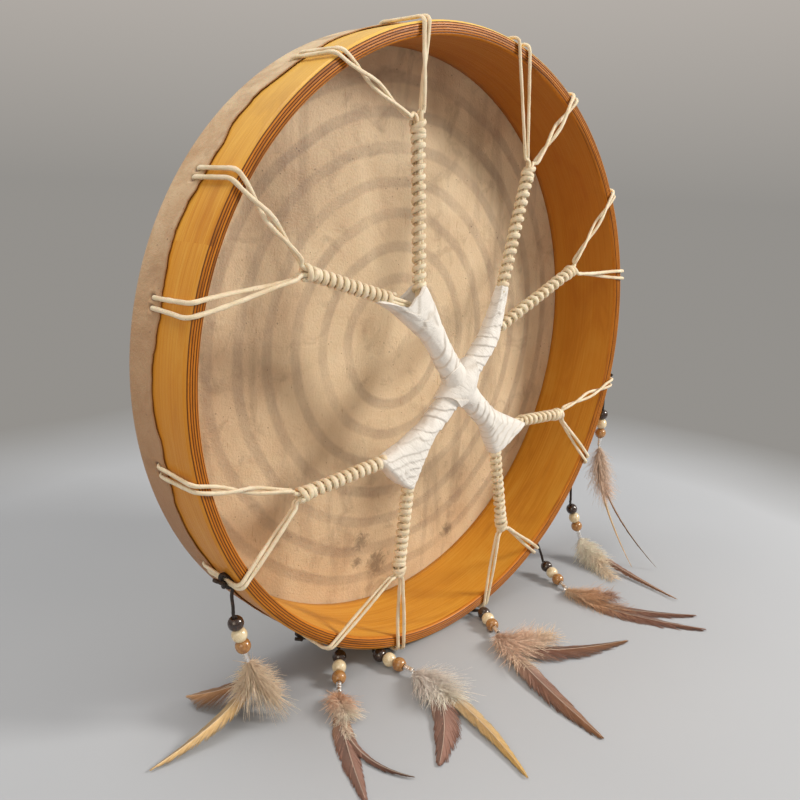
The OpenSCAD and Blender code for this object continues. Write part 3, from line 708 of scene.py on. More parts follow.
# Lacing layout, shared by the hide, the laces and the windings
# A bundle has its parting's direction and distance, its arm, the wrapped length past the fork, its winding's
# turns and how far back they start; each of its pairs has a share of the holes' gap at the rim and quarter
# turns on the way in
bundles = [
    {"angle": 23, "far": 131, "arm": "upper_right", "past": 20, "turns": 13, "lead": 12, "rim": (1.1, 0.7),
     "quarters": (1, 3)},
    {"angle": 64, "far": 134, "arm": "upper_right", "past": 30, "turns": 14, "lead": 3, "rim": (0.9, 2.1),
     "quarters": (3, 0)},
    {"angle": 109, "far": 149, "arm": "upper_left", "past": 14, "turns": 16, "lead": 5, "rim": (0.75, 0.8),
     "quarters": (1, 3)},
    {"angle": 155, "far": 142, "arm": "upper_left", "past": 29, "turns": 12, "lead": 5, "rim": (0.95, 1.3),
     "quarters": (3, 1)},
    {"angle": 206, "far": 146, "arm": "lower_left", "past": 24, "turns": 12, "lead": 3, "rim": (0.7, 0.55),
     "quarters": (3, 1)},
    {"angle": 250, "far": 146, "arm": "lower_left", "past": 22, "turns": 12, "lead": 3, "rim": (0.55, 1.0),
     "quarters": (1, 1)},
    {"angle": 293, "far": 147, "arm": "lower_right", "past": 17, "turns": 12, "lead": 3, "rim": (0.6, 0.9),
     "quarters": (1, 1)},
    {"angle": 334, "far": 135, "arm": "lower_right", "past": 31, "turns": 8, "lead": 3, "rim": (0.9, 0.9),
     "quarters": (1, 3)},
]
lacing = {"thick": 2.4, "pairSpread": 9.8, "pairGap": 5.4, "pairClose": 2.6, "core": 4.4, "holeDepth": 34.0,
          "holeInR": 199.2, "holeOutR": 201.2, "meetBack": 6.0, "coreStep": 1.12, "points": 120,
          "wrapWide": 3.5, "wrapThick": 2.2, "lumps": 0.17}
crossing = np.array([0.0, -20.0])
arms = {
    "upper_left": {"angle": 127, "reach": 68, "laps": 6, "notch": 9.0, "flare": 5.6, "slip": 2.6,
                   "fanFrom": 30, "folds": 3, "turn": 0.3, "lapWay": 1, "open": True},
    "upper_right": {"angle": 47, "reach": 45, "laps": 5, "notch": 0.0, "finger": 4.1, "fanFrom": 10,
                    "folds": 5, "turn": 0.2, "lapWay": -1, "open": False},
    "lower_right": {"angle": -41, "reach": 52, "laps": 5, "notch": 2.0, "flare": 3.4, "slip": -2.5,
                    "fanFrom": 14, "folds": 6, "turn": 0.15, "lapWay": -1, "open": False},
    "lower_left": {"angle": -140, "reach": 55, "laps": 5, "notch": -1.5, "flare": 3.8, "slip": 0,
                   "fanFrom": 18, "folds": 7, "turn": 0.6, "lapWay": 1, "open": False},
}
for arm in arms.values():
    arm["fork"] = crossing + polar(arm["reach"], arm["angle"])
for k, bundle in enumerate(bundles):
    bundle["split"] = polar(bundle["far"], bundle["angle"])
    bundle["fork"] = arms[bundle["arm"]]["fork"]
    bundle["way"] = unit(bundle["split"] - bundle["fork"])
    bundle["prong"] = bundle["fork"] + bundle["past"] * bundle["way"]
    bundle["pairs"] = [45 * (k + 0.5) + side * lacing["pairSpread"] for side in (-1, 1)]
pairTurn = math.degrees(math.asin(lacing["pairGap"] / 2 / drum["laceR"]))
holeAngles = [p + s * pairTurn for b in bundles for p in b["pairs"] for s in (-1, 1)]

# Hide: a flat head bent over the front edge, drawn back along the wall and trimmed in shallow dips
hideShape = {"thick": 1.0, "trim": 27.0, "dip": 4.0, "dipWide": 52.0, "dipStep": 22.5, "bend": 7.0,
             "middleR": (0.05, 1, 4), "spreadR": 12, "dent": 0.25, "dentFade": 30, "underDentR": 185,
             "pleatReach": 20, "pleatLong": 11, "pleat": 0.34}


def hideTrim(angle):  # depth of the trimmed edge in front of the rear edge
    shape = hideShape
    curve = ((shape["dipWide"] / 2) ** 2 + shape["dip"] ** 2) / (2 * shape["dip"])
    half = shape["dipStep"] / 2
    off = ((angle + half) % shape["dipStep"] - half) * math.pi / 180 * drum["hideR"]
    ragged = 1.3 * wander(angle * 0.30, 7.0) + 0.8 * wander(angle * 0.8, 3.0)
    return shape["trim"] + max(0, shape["dip"] - off * off / (2 * curve)) + ragged


def hideRelief(angle, depth):  # how far the hide stands off the wall, and its marks of painted shade in the pleats and at the holes
    lift = 0.22 * wander(angle * 0.5, depth * 0.12, 2.0) + 0.12 * wander(angle * 1.7, depth * 0.2, 5.0)
    fold, hole = 0.0, 0.0
    for at in holeAngles:
        off = ((angle - at + 180) % 360 - 180) * math.pi / 180 * drum["hideR"]
        if abs(off) > hideShape["pleatReach"]:
            continue
        up = depth - lacing["holeDepth"] - 1.0
        near = math.hypot(off / 1.7, up / 2.3)
        # painted shade in the lace hole
        hole = max(hole, float(ease(1.5 - near)))
        lift -= 0.7 * math.exp(-near * near)
        lift += 0.42 * math.exp(-((near - 1.9) / 0.7) ** 2)
        if up > 0:  # pleats drawn from the hole towards the front
            pull = math.exp(-up / hideShape["pleatLong"]) * math.exp(-(off / (3 + 0.5 * up)) ** 2)
            crease = math.sin(off / (0.9 + 0.14 * up) + at)
            lift += hideShape["pleat"] * pull * crease
            # painted shade in the troughs of the pleats
            fold = max(fold, 0.8 * pull * max(0, -crease))
    return lift, fold, hole


def headDent(r, c, s, reach):  # the head sags a little and unevenly, less and less out to its reach
    sag = 0.5 + 0.5 * wander(r * c * 0.03, r * s * 0.03)
    return -hideShape["dent"] * sag * ease((reach - r) / hideShape["dentFade"])


def makeHide():
    shape, r, front = hideShape, drum["hideR"], drum["depth"]
    angles = set(np.round(np.arange(0, 360, 0.9), 3))
    for at in holeAngles:
        angles |= set(np.round(at % 360 + np.arange(-1.2, 1.25, 0.2), 3) % 360)
    angles = sorted(angles)
    bendOut, bendIn = shape["bend"] + shape["thick"], shape["bend"]
    bendTop = front - shape["bend"]
    lapSteps = np.concatenate([np.linspace(0, 0.5, 8, endpoint=False),
                               np.linspace(0.5, 0.88, 20, endpoint=False), np.linspace(0.88, 1, 6)])
    rings, marks = [], {"head": [], "fold": [], "cutEdge": [], "hole": []}
    for angle in angles:
        trim = hideTrim(angle)
        c, s = math.cos(math.radians(angle)), math.sin(math.radians(angle))
        row = []
        for rr in np.concatenate([shape["middleR"], np.linspace(shape["spreadR"], r - bendOut, 10)]):
            dent = headDent(rr, c, s, r - bendOut)
            row.append((rr, front + shape["thick"] + dent, 1, 0, 0, 0))
        for a in np.linspace(12, 90, 8):
            q = math.radians(a)
            row.append((r - bendOut * (1 - math.sin(q)), bendTop + bendOut * math.cos(q),
                        0.6 * (a < 40), 0, 0, 0))
        outside = []
        for t in lapSteps[1:]:
            depth = bendTop + (trim - bendTop) * t
            lift, fold, hole = hideRelief(angle, depth)
            lift *= ease(t / 0.12)
            curl = 0.5 * ease((t - 0.82) / 0.18) * (0.45 + 0.55 * wander(angle * 0.22, 11.0))
            stand = (drum["middleUp"] - 0.03) / max(-s, 0.5)  # the rim rests on the floor
            # the cut edge and its underside are darkened, partly dirt and partly painted shade under the curl
            cut = float(ease((t - 0.9) / 0.1))
            outside.append((min(r + lift + max(curl, 0), stand), depth, 0, fold, cut, hole))
        row += outside
        under = []
        for n, p in enumerate(outside[::-1]):
            inside = max(p[0] - shape["thick"] * (0.75 if n else 0.6), drum["outerR"] + 0.02)
            under.append((inside, p[1] + 0.12 * (n == 0), 0, 0, float(n < 3), 0))
        row += under[::2]
        for a in np.linspace(90, 12, 7):
            q = math.radians(a)
            row.append((drum["outerR"] - bendIn * (1 - math.sin(q)), bendTop + bendIn * math.cos(q),
                        0, 0, 0, 0))
        for rr in np.concatenate([np.linspace(drum["outerR"] - bendIn, shape["spreadR"], 10),
                                  shape["middleR"][::-1]]):
            row.append((rr, front + headDent(rr, c, s, shape["underDentR"]), 1, 0, 0, 0))
        rings.append([onRim(p[0], angle, p[1]) for p in row])
        for n, key in enumerate(("head", "fold", "cutEdge", "hole")):
            marks[key].append([p[n + 2] for p in row])
    skin = addParts("drawnHide", [loftData(rings, along=True, marks=marks)], looks["hide"])
    return settle(skin, "drum", "hide", "skin")


makeHide()
print("hide made")


# Laces: each strand leaves its hole, runs back over the rear edge and in to its bundle, then on to the grip
def strandPath(bundle, side, s, k):
    shape, back, pair = lacing, drum["webBack"], (side + 1) // 2
    pairAngle, rim = bundle["pairs"][pair], bundle["rim"][pair]
    angle = pairAngle + s * pairTurn
    away = bundle["way"]
    aside = leftOf(away)
    sway = 0.35 * wander(k * 3.7, side * 2.1 + s)
    close = pairAngle + s * pairTurn * rim
    over, overMid = polar(drum["laceR"], close), polar(drum["laceR"], pairAngle)
    meet = bundle["split"] + aside * side * (shape["pairClose"] / 2 + shape["core"] / 3)
    across = unit(meet - overMid)
    meet = meet - shape["meetBack"] * across
    beside = np.array([across[1], -across[0]])
    wall = [onRim(shape["holeInR"], angle, shape["holeDepth"] + 0.3),
            onRim(shape["holeOutR"], angle, shape["holeDepth"]),
            onRim(drum["laceR"], angle + 0.06 * sway, shape["holeDepth"] - shape["thick"])]
    for n, d in enumerate((26, 18, 10, 5)):
        drawn = angle + (close - angle) * n / 3 + 0.12 * sway * math.sin(n)
        wall.append(onRim(drum["laceR"] + 0.1 * sway * n, drawn, d))
    edge = [behind(*(over + 0.15 * across), -2.2), behind(*(over + 1.2 * across), 0.1),
            behind(*(over + 3.2 * across), back - 0.15)]
    inward = []
    for t in np.linspace(0.16, 1, 9):
        half = s * (shape["pairGap"] * rim * (1 - t) + shape["pairClose"] * t) / 2
        turned = math.radians(90 * bundle["quarters"][pair]) * float(ease(t))
        p = overMid + (meet - overMid) * t + (half * math.cos(turned) - sway * math.sin(3 * t)) * beside
        inward.append(behind(*p, back + half * math.sin(turned) + 0.3 * sway * math.sin(math.pi * t)))
    step, deep = shape["coreStep"] * (side * aside), back + shape["coreStep"] * s
    core = [behind(*(bundle["split"] + step - 3 * away), deep)]
    core += [behind(*(bundle["prong"] + step + t * away), deep) for t in (14, -4)]
    core.append(behind(*(bundle["fork"] + 3 * away + step * 0.8), back + 0.9 * s))
    return smoothPath(wall + edge + inward + core, shape["points"])


def makeLaces(k, bundle):
    parts = []
    for side in (-1, 1):
        for s in (-1, 1):
            path = strandPath(bundle, side, s, k)
            out = path[0] - behind(0, 0)
            facing = unit(np.array([out[0], 0, out[2]]))
            thick = np.full(len(path), lacing["thick"] / 2000)
            parts.append(tubeData(path, thick * 1.06, thick * 0.86, 10, facing, lacing["lumps"],
                                  k * 9.1 + side * 2.3 + s))
    obj = addParts("laceBundle_%d" % (k + 1), parts, looks["lace"])
    return settle(obj, "drum", "lace", "lacing", "grip_cord")


# Winding round each bundle: uneven turns, then two crossed turns where the strands part
windingShape = {"endRoom": 7.0, "lift": 1.4, "steps": 22, "crossed": 2.6, "lumps": 0.12}


def makeWinding(k, bundle):
    shape = windingShape
    way = np.array([bundle["way"][0], 0, bundle["way"][1]])
    aside = np.array([-bundle["way"][1], 0, bundle["way"][0]])
    outBack = np.array([0, -1.0, 0])
    span = np.linalg.norm(bundle["split"] - bundle["prong"])
    base = behind(*bundle["prong"], drum["webBack"])
    turns, reach, steps = bundle["turns"], span - shape["endRoom"], shape["steps"]
    r0 = lacing["core"] / 2 + shape["lift"]
    path, facing = [], []
    for n in range(int(turns * steps) + 1):
        turn = n / steps
        at = -bundle["lead"] + (reach + bundle["lead"]) * turn / turns + 0.55 * wander(turn * 0.9, k * 5.0)
        a = 2 * math.pi * turn + k
        tilt = 0.75 * math.sin(a + 0.8 + 0.6 * wander(turn * 0.4, k))
        r = r0 + 0.22 * wander(turn * 1.3, k * 2.0, 4.0)
        spoke = math.cos(a) * aside + math.sin(a) * outBack
        path.append(base + ((at + tilt) * way + r * spoke) / 1000)
        facing.append(spoke)
    for n in range(1, int(shape["crossed"] * steps) + 1):  # crossed turns
        turn = n / steps
        a = 2 * math.pi * (turns + turn) + k
        rise = ease(turn / 0.5)
        at = reach + 2.9 * turn * ease(turn / 0.3)
        r = r0 + 0.35 * rise + 0.3 * math.sin(2.2 * turn + k)
        lean = (1.3 if turn < 1.3 else -1.2) * math.cos(a + 0.5) * rise
        spoke = math.cos(a) * aside + math.sin(a) * outBack
        path.append(base + ((at + lean) * way + r * spoke) / 1000)
        facing.append(spoke)
    path = np.array(path)
    path[2:-2] = (path[:-4] + path[1:-3] + path[2:-2] + path[3:-1] + path[4:]) / 5
    part = tubeData(path, lacing["wrapWide"] / 2000, lacing["wrapThick"] / 2000, 10, np.array(facing),
                    shape["lumps"], k * 4.3)
    obj = addParts("laceWinding_%d" % (k + 1), [part], looks["lace"])
    return settle(obj, "drum", "lace", "lace_wrap_%d" % (k + 1))


for k, bundle in enumerate(bundles):
    makeLaces(k, bundle)
    makeWinding(k, bundle)
print("laces and windings made")


# Grip: each arm is a strip wound in laps, ending in a pleated fan with an open mouth
gripShape = {
    "wide": 16.4, "thick": 15.0, "step": 0.85, "sides": 96, "start": 8.0, "mouth": 7.0, "lapsFrom": 13,
    "lean": 3.2, "ringStep": 0.55, "fanRings": 80, "fanLay": 24,
    # Past the mouth, with its share of the size: a rolled lip and the inside, or drawn shut round the bundles
    "openLip": ((0, 1.03), (0, 1.02), (0, 0.9), (0, 0.84), (-2.5, 0.80), (-6.0, 0.72), (-11.0, 0.55)),
    "shutLip": ((0.6, 0.99), (1.4, 0.93), (2.1, 0.82), (2.6, 0.66), (2.9, 0.45), (3.0, 0.2)),
}


def lapAt(s, a, pitch, lean, way=1):  # height of the strip at s along the arm, and how near a lap's edge is
    turn = way * ((s + lean * math.cos(a)) / pitch - a / (2 * math.pi)) + 0.45 * wander(s * 0.12, pitch, way)
    part = turn - math.floor(turn)
    height = gripShape["step"] * (part if part < 0.94 else (1 - part) / 0.06 * 0.94)
    return height - gripShape["step"], math.exp(-(min(part, 1 - part) / 0.07) ** 2)


def makeArm(name, arm):
    shape = gripShape
    held = [b for b in bundles if b["arm"] == name]
    ends = [b["prong"] for b in held]
    d = polar(1, arm["angle"])
    n = leftOf(d)
    if "finger" in arm:  # runs on along its second bundle, and the first leaves at its side
        out, mouth, half = held[1]["way"], ends[1], arm["finger"]
        along = leftOf(out)
        mouthThick = arm["finger"]
    else:
        out = unit(ends[0] + ends[1] - 2 * arm["fork"])
        along = unit(ends[1] - ends[0])
        along = along if along @ n > 0 else -along
        mouth = (ends[0] + ends[1]) / 2 + out + arm["slip"] * along
        half = np.linalg.norm(ends[1] - ends[0]) / 2 + arm["flare"]
        mouthThick = shape["mouth"]
    pitch = (arm["reach"] - shape["lapsFrom"]) / arm["laps"]
    seed = arm["angle"] * 0.37
    rings, creaseDirtAndShade = [], []
    turnIn = arm["reach"] - arm["fanFrom"]
    for s in np.arange(shape["start"], turnIn, shape["ringStep"]):
        rings.append((crossing + s * d, n, d, shape["wide"] / 2, shape["thick"] / 2, s, 0.0, 1.0))
    begin = crossing + turnIn * d
    for q in np.linspace(0, 1, shape["fanRings"]):
        centre = (1 - q) ** 2 * begin + 2 * q * (1 - q) * arm["fork"] + q * q * mouth
        side = unit(n + (along - n) * ease(q * 1.2))
        grow = float(ease(q)) * 0.55 + 0.45 * q * q
        wide = shape["wide"] / 2 + (half - shape["wide"] / 2) * grow
        thick = shape["thick"] / 2 + (mouthThick - shape["thick"] / 2) * q
        rings.append((centre, side, -leftOf(side), wide, thick, turnIn + q * shape["fanLay"], q, 1.0))
    last = rings[-1]
    for past, size in shape["openLip"] if arm["open"] else shape["shutLip"]:
        rings.append((mouth + past * out, last[1], last[2], half, mouthThick, last[5] + past, 1.0, size))
    loop = []
    for centre, side, ahead, wide, thick, s, q, size in rings:
        ring = []
        for j in range(shape["sides"]):
            a = 2 * math.pi * j / shape["sides"]
            c, b = math.cos(a), math.sin(a)
            lap, crease = lapAt(s, a, pitch, shape["lean"], arm["lapWay"])
            fade = 1 - float(ease(q * 2.5))
            u = math.copysign(abs(c) ** (1 - 0.25 * q), c)
            b = math.copysign(abs(b) ** (1 - 0.45 * q), b)
            # Folds of the strip across the fan, closer together at one side
            fold = arm["folds"] * q * (1 + arm["turn"] * u) / (1 + abs(arm["turn"]))
            fold += 0.5 * wander(u * 2, q * 3, seed)
            part = arm["lapWay"] * fold - math.floor(arm["lapWay"] * fold)
            pleat = (1 - fade) * (0.8 * (part if part < 0.9 else (1 - part) * 9) - 0.3)
            edge = (1 - fade) * math.exp(-(min(part, 1 - part) / 0.09) ** 2)
            soft = 0.45 * wander(s * 0.13, 2.2 * c, 2.2 * b + seed)
            w = wide + lap * fade + soft
            t = thick + lap * fade + soft + pleat
            shift = -arm["notch"] * ease(q) * (1 - abs(u)) + 0.8 * q * wander(u * 4, seed, 2.0)
            across = size if arm["open"] else 0.5 + 0.5 * size
            p = centre + across * u * w * side + shift * ahead * (-1 if ahead @ d < 0 else 1)
            ring.append(behind(*p, drum["webBack"] + size * t * b))
            # lap edges and fan folds marked, and the inside of the lip a set amount: partly dirt, partly
            # painted shade
            creaseDirtAndShade.append(max(crease * fade, edge) if size > 0.9 else 0.35)
        loop.append(ring)
    obj = addParts("gripArm_" + name, [loftData(loop, marks={"crease": creaseDirtAndShade})], looks["white_leather"])
    return settle(obj, "drum", "white_leather", "grip_arm_" + name)


for armName, arm in arms.items():
    makeArm(armName, arm)

# Crossing: two short sleeves of strip, the one from lower left to upper right lying on top
sleeves = [
    {"from": "upper_left", "to": "lower_right", "reach": 19.0, "wide": 9.6, "thick": 8.2, "endWide": 8.9,
     "endThick": 8.0, "laps": 3, "slant": 4.0},
    {"from": "lower_left", "to": "upper_right", "reach": 12.5, "wide": 11.3, "thick": 10.3, "endWide": 10.2,
     "endThick": 9.5, "laps": 1, "slant": 5.0},
]


crossingShape = {"rings": 61, "edge": 0.84, "layFrom": 40, "lean": 5.0}  # edge: share of the size at the ends


def makeCrossing():
    shape, parts = crossingShape, []
    for sleeve in sleeves:
        a0, a1 = arms[sleeve["from"]]["angle"], arms[sleeve["to"]]["angle"]
        d0, d1 = polar(1, a0), polar(1, a1)
        rings, creaseDirtAndShade = [], []
        pitch = 2 * sleeve["reach"] / sleeve["laps"]
        places = np.concatenate([[-1, -1], np.linspace(-1, 1, shape["rings"]), [1, 1]])
        for number, t in enumerate(places):
            rim = shape["edge"] if number in (0, len(places) - 1) else 1.0
            s = t * sleeve["reach"]
            d = -d0 if t < 0 else d1
            centre = crossing + s * unit(-d0 * (1 - (t + 1) / 2) + d1 * (t + 1) / 2)
            n = unit(leftOf(d) * abs(t) + leftOf(d1 - d0) * (1 - abs(t)) / 2)
            ring = []
            for j in range(gripShape["sides"]):
                a = 2 * math.pi * j / gripShape["sides"]
                lap, crease = lapAt(s + shape["layFrom"], a, pitch, shape["lean"])
                bulge = (1 - t * t) + 0.4 * wander(s * 0.15, 2 * math.cos(a), 2 * math.sin(a) + a0)
                hug = ease(abs(t)) * 0.8 + 0.2 * abs(t)
                w = sleeve["wide"] + lap + bulge + (sleeve["endWide"] - sleeve["wide"]) * hug
                h = sleeve["thick"] + 0.7 * lap + 0.5 * bulge + (sleeve["endThick"] - sleeve["thick"]) * hug
                slant = sleeve["slant"] * math.cos(a) * t * abs(t) + 2.0 * math.sin(2 * a) * t * t
                p = centre + w * rim * math.cos(a) * n + slant * unit(d1 - d0)
                ring.append(behind(*p, drum["webBack"] + h * rim * math.sin(a)))
                # lap edges marked, and the tucked sleeve ends a set amount: partly dirt, partly painted shade
                creaseDirtAndShade.append(crease if rim == 1 else 0.8)
            rings.append(ring)
        parts.append(loftData(rings, marks={"crease": creaseDirtAndShade}))
    obj = addParts("gripCrossing", parts, looks["white_leather"])
    return settle(obj, "drum", "white_leather", "grip_crossing")


makeCrossing()
print("grip made")

# Knots that tie the thongs round their lace pairs, each with a short tail
knotShape = {"wide": 4.7, "tall": 2.1, "steps": 52, "perTurn": 24, "points": 130, "cordWide": 1.2,
             "cordThick": 1.0, "stubThick": 0.95, "lowest": 1.2,
             # Of each tail, its lean to the rear and its length
             "tails": ((3, 17), (-4, 8), (5, 7), (-3, 9), (4, 8), (-5, 10), (4, 8))}


def makeKnots():
    shape, parts = knotShape, []
    for i, charm in enumerate(charms):
        knot, start = np.array(charm["knot"]), np.array(charm["start"])
        out = unit(np.array([knot[0], 0, knot[2] - drum["middleUp"]]))
        way = unit(start - knot)
        front = np.array([0, 1.0, 0])
        path = []
        for n in range(shape["steps"] + 1):  # two turns round the pair
            a = 2 * math.pi * n / shape["perTurn"] + math.pi
            slide = -1.5 + 3.0 * n / shape["steps"] + 0.5 * math.sin(a)
            path.append(knot + shape["wide"] * math.cos(a) * way + shape["tall"] * math.sin(a) * out
                        + slide * front)
        lean, long = shape["tails"][i]
        path += [knot + 3.4 * way + 2.0 * out + 2.2 * front, knot + 0.4 * way + 3.4 * out - 0.4 * front,
                 knot - 2.6 * way + 3.0 * out - 2.6 * front,
                 knot - (3 + 0.4 * long) * way + (2.0 + 0.22 * long) * out - (2.6 + 0.3 * lean) * front]
        path = np.array(path)
        path[:, 2] = np.maximum(path[:, 2], shape["lowest"])
        wide, thick = shape["cordWide"] / 1000, shape["cordThick"] / 1000
        parts.append(tubeData(smoothPath(path / 1000, shape["points"]), wide, thick, 8, out, 0.1, i * 3.3))
        stub = np.array([knot + way + 2.6 * out, knot + 4.6 * way + 1.4 * out, start - 0.5 * way,
                         start + 0.5 * way])
        parts.append(tubeData(smoothPath(stub / 1000, 16), thick, shape["stubThick"] / 1000, 8, out, 0.06, i))
    return settle(addParts("thongKnots", parts, looks["thong"]), "drum", "thong", "knots")


makeKnots()
print("knots made")

# Feathers: tip from the knot across and back, its height, half width, colours from root to tip
featherTones = {
    "beige": (0.98, 0.77, 0.57), "brown": (0.39, 0.20, 0.10), "straw": (0.86, 0.60, 0.30),
    "mauve": (0.36, 0.19, 0.142), "dark": (0.11, 0.058, 0.043), "grey": (0.98, 0.87, 0.80),
    "rose": (0.97, 0.70, 0.54), "cream": (0.98, 0.88, 0.73), "tan": (0.78, 0.50, 0.27),
    "ash": (0.82, 0.61, 0.46), "gold": (0.80, 0.49, 0.13), "rust": (0.80, 0.48, 0.27),
}
feathers = [
    [{"tip": (-51, -4, 1.8), "wide": 5.6, "fluff": 15, "tones": ("rust", "straw", "straw")},
     {"tip": (-7, 34, 6), "wide": 9.0, "fluff": 15, "tones": ("tan", "brown", "rust")},
     {"tip": (30, -6, 9), "wide": 20, "deep": 12, "tones": ("beige", "beige", "beige")}],
    [{"tip": (-44, -108, 1.6), "wide": 6.6, "fluff": 8, "tones": ("rust", "mauve", "mauve")},
     {"tip": (-14, -114, 1.6), "wide": 2.6, "fluff": 7, "lead": 0.75, "tones": ("brown", "mauve", "dark")},
     {"tip": (-10, -58, 5), "wide": 12, "deep": 5, "tones": ("rust", "rose", "cream")}],
    [{"tip": (-60, -104, 1.6), "wide": 8.6, "fluff": 17, "tones": ("rose", "mauve", "mauve")},
     {"tip": (-32, -142, 1.6), "wide": 5.6, "fluff": 15, "tones": ("cream", "straw", "gold")},
     {"tip": (-18, -74, 6), "wide": 20, "deep": 8, "tones": ("grey", "grey", "cream")}],
    [{"tip": (44, -106, 1.6), "wide": 8.5, "fluff": 15, "splay": 6, "tones": ("rose", "mauve", "brown")},
     {"tip": (-62, -150, 1.6), "wide": 7.8, "fluff": 15, "tones": ("rose", "mauve", "brown")},
     {"tip": (8, -74, 6), "wide": 18, "deep": 8, "tones": ("rose", "rose", "beige")}],
    [{"tip": (38, -140, 1.6), "wide": 7.5, "fluff": 12, "fluffTo": 0.72, "splay": 12,
      "tones": ("rust", "mauve", "mauve")},
     {"tip": (52, -126, 1.6), "wide": 7.0, "fluff": 12, "fluffTo": 0.72, "splay": 12,
      "tones": ("rust", "mauve", "mauve")},
     {"tip": (28, -76, 5), "wide": 14, "deep": 6, "tones": ("beige", "rust", "mauve")}],
    [{"tip": (-11, -57, 2.4), "wide": 13, "deep": 6, "tones": ("cream", "cream", "beige")},
     {"tip": (1, -104, 2), "wide": 3.6, "fluff": 9, "tones": ("tan", "mauve", "brown")},
     {"tip": (0, -38, 7), "wide": 13, "deep": 7, "tones": ("cream", "cream", "beige")}],
    [{"tip": (-4, -47, 2.6), "wide": 1.5, "tones": ("cream", "straw", "tan")},
     {"tip": (12, -61, 2.6), "wide": 1.7, "tones": ("tan", "brown", "dark")},
     {"tip": (5, -13, 50), "wide": 19, "deep": 11, "tones": ("ash", "ash", "rose")}],
]
featherShape = {"barbGap": 0.30, "barbPoints": 6, "downCount": 1500, "fluffCount": 500, "fluffTo": 0.42,
                "downPoints": 7, "floor": 0.35, "lowest": 0.05, "thin": 0.08, "crimpGap": 7.5,
                "rootStep": 0.35, "bare": 0.22, "downTo": 0.94, "fluffDeep": 0.45, "shaftSides": 7,
                "seed": 40}


def curvePoint(a, b, c, s):
    s = np.asarray(s)[..., None]
    return (1 - s) ** 2 * a + 2 * s * (1 - s) * b + s * s * c


def featherLine(charm, feather, m):  # the three points of its curve, and the way its blade is wide
    d = unit(charm["row"])
    root = rowPlace(charm, rowEnd + featherShape["crimpGap"])
    level = np.array([0, 0, 1.0]) if abs(d[2]) < 0.8 else np.array([0, 1.0, 0])
    root = root + m * featherShape["rootStep"] * (d + unit(np.cross(d, level)))
    x, y, height = feather["tip"]
    tip = np.array([charm["knot"][0] + x, charm["knot"][1] + y, height])
    lead = root + feather.get("lead", 0.4) * np.linalg.norm(tip - root) * d
    return root, np.array([lead[0], lead[1], max(lead[2], height)]), tip, d


def bladeSide(line, s):
    root, turn, tip, d = line
    s = np.asarray(s)[..., None]
    ahead = unit(2 * (1 - s) * (turn - root) + 2 * s * (tip - turn))
    if abs(d[2]) > 0.8:
        side = np.broadcast_to(unit(np.cross(d, tip - root)), ahead.shape)
    else:
        side = unit(np.cross(ahead, np.array([0, 0, 1.0])))
    return ahead, side


def hairs(paths, wide, wideWay, tints):  # thin three-sided strands along the paths, in millimetres
    paths = paths.copy()
    paths[..., 2] = np.maximum(paths[..., 2], featherShape["floor"])
    count, points = paths.shape[:2]
    ahead = unit(np.gradient(paths, axis=1))
    wideWay = unit(wideWay - ahead * np.sum(wideWay * ahead, -1, keepdims=True))
    flatWay = np.cross(ahead, wideWay)
    w, t = wide[..., None], featherShape["thin"]
    corners = np.stack([paths + wideWay * w, paths - wideWay * w, paths + flatWay * t], 2)
    corners[..., 2] = np.maximum(corners[..., 2], featherShape["lowest"])
    index = np.arange(count * points * 3).reshape(count, points, 3)
    a, b = index[:, :-1], index[:, 1:]
    sides = np.stack([a, np.roll(a, -1, 2), np.roll(b, -1, 2), b], -1).reshape(-1, 4)
    ends = np.concatenate([index[:, 0, ::-1], index[:, -1]])
    colour = np.repeat(tints, 3, axis=1).reshape(-1, 3)
    return corners.reshape(-1, 3) / 1000, sides.tolist() + ends.tolist(), colour


def toneAlong(tones, s):
    stops = np.array([featherTones[t] for t in tones])
    return np.stack([np.interp(s, (0, 0.5, 1), stops[:, c]) for c in range(3)], -1)


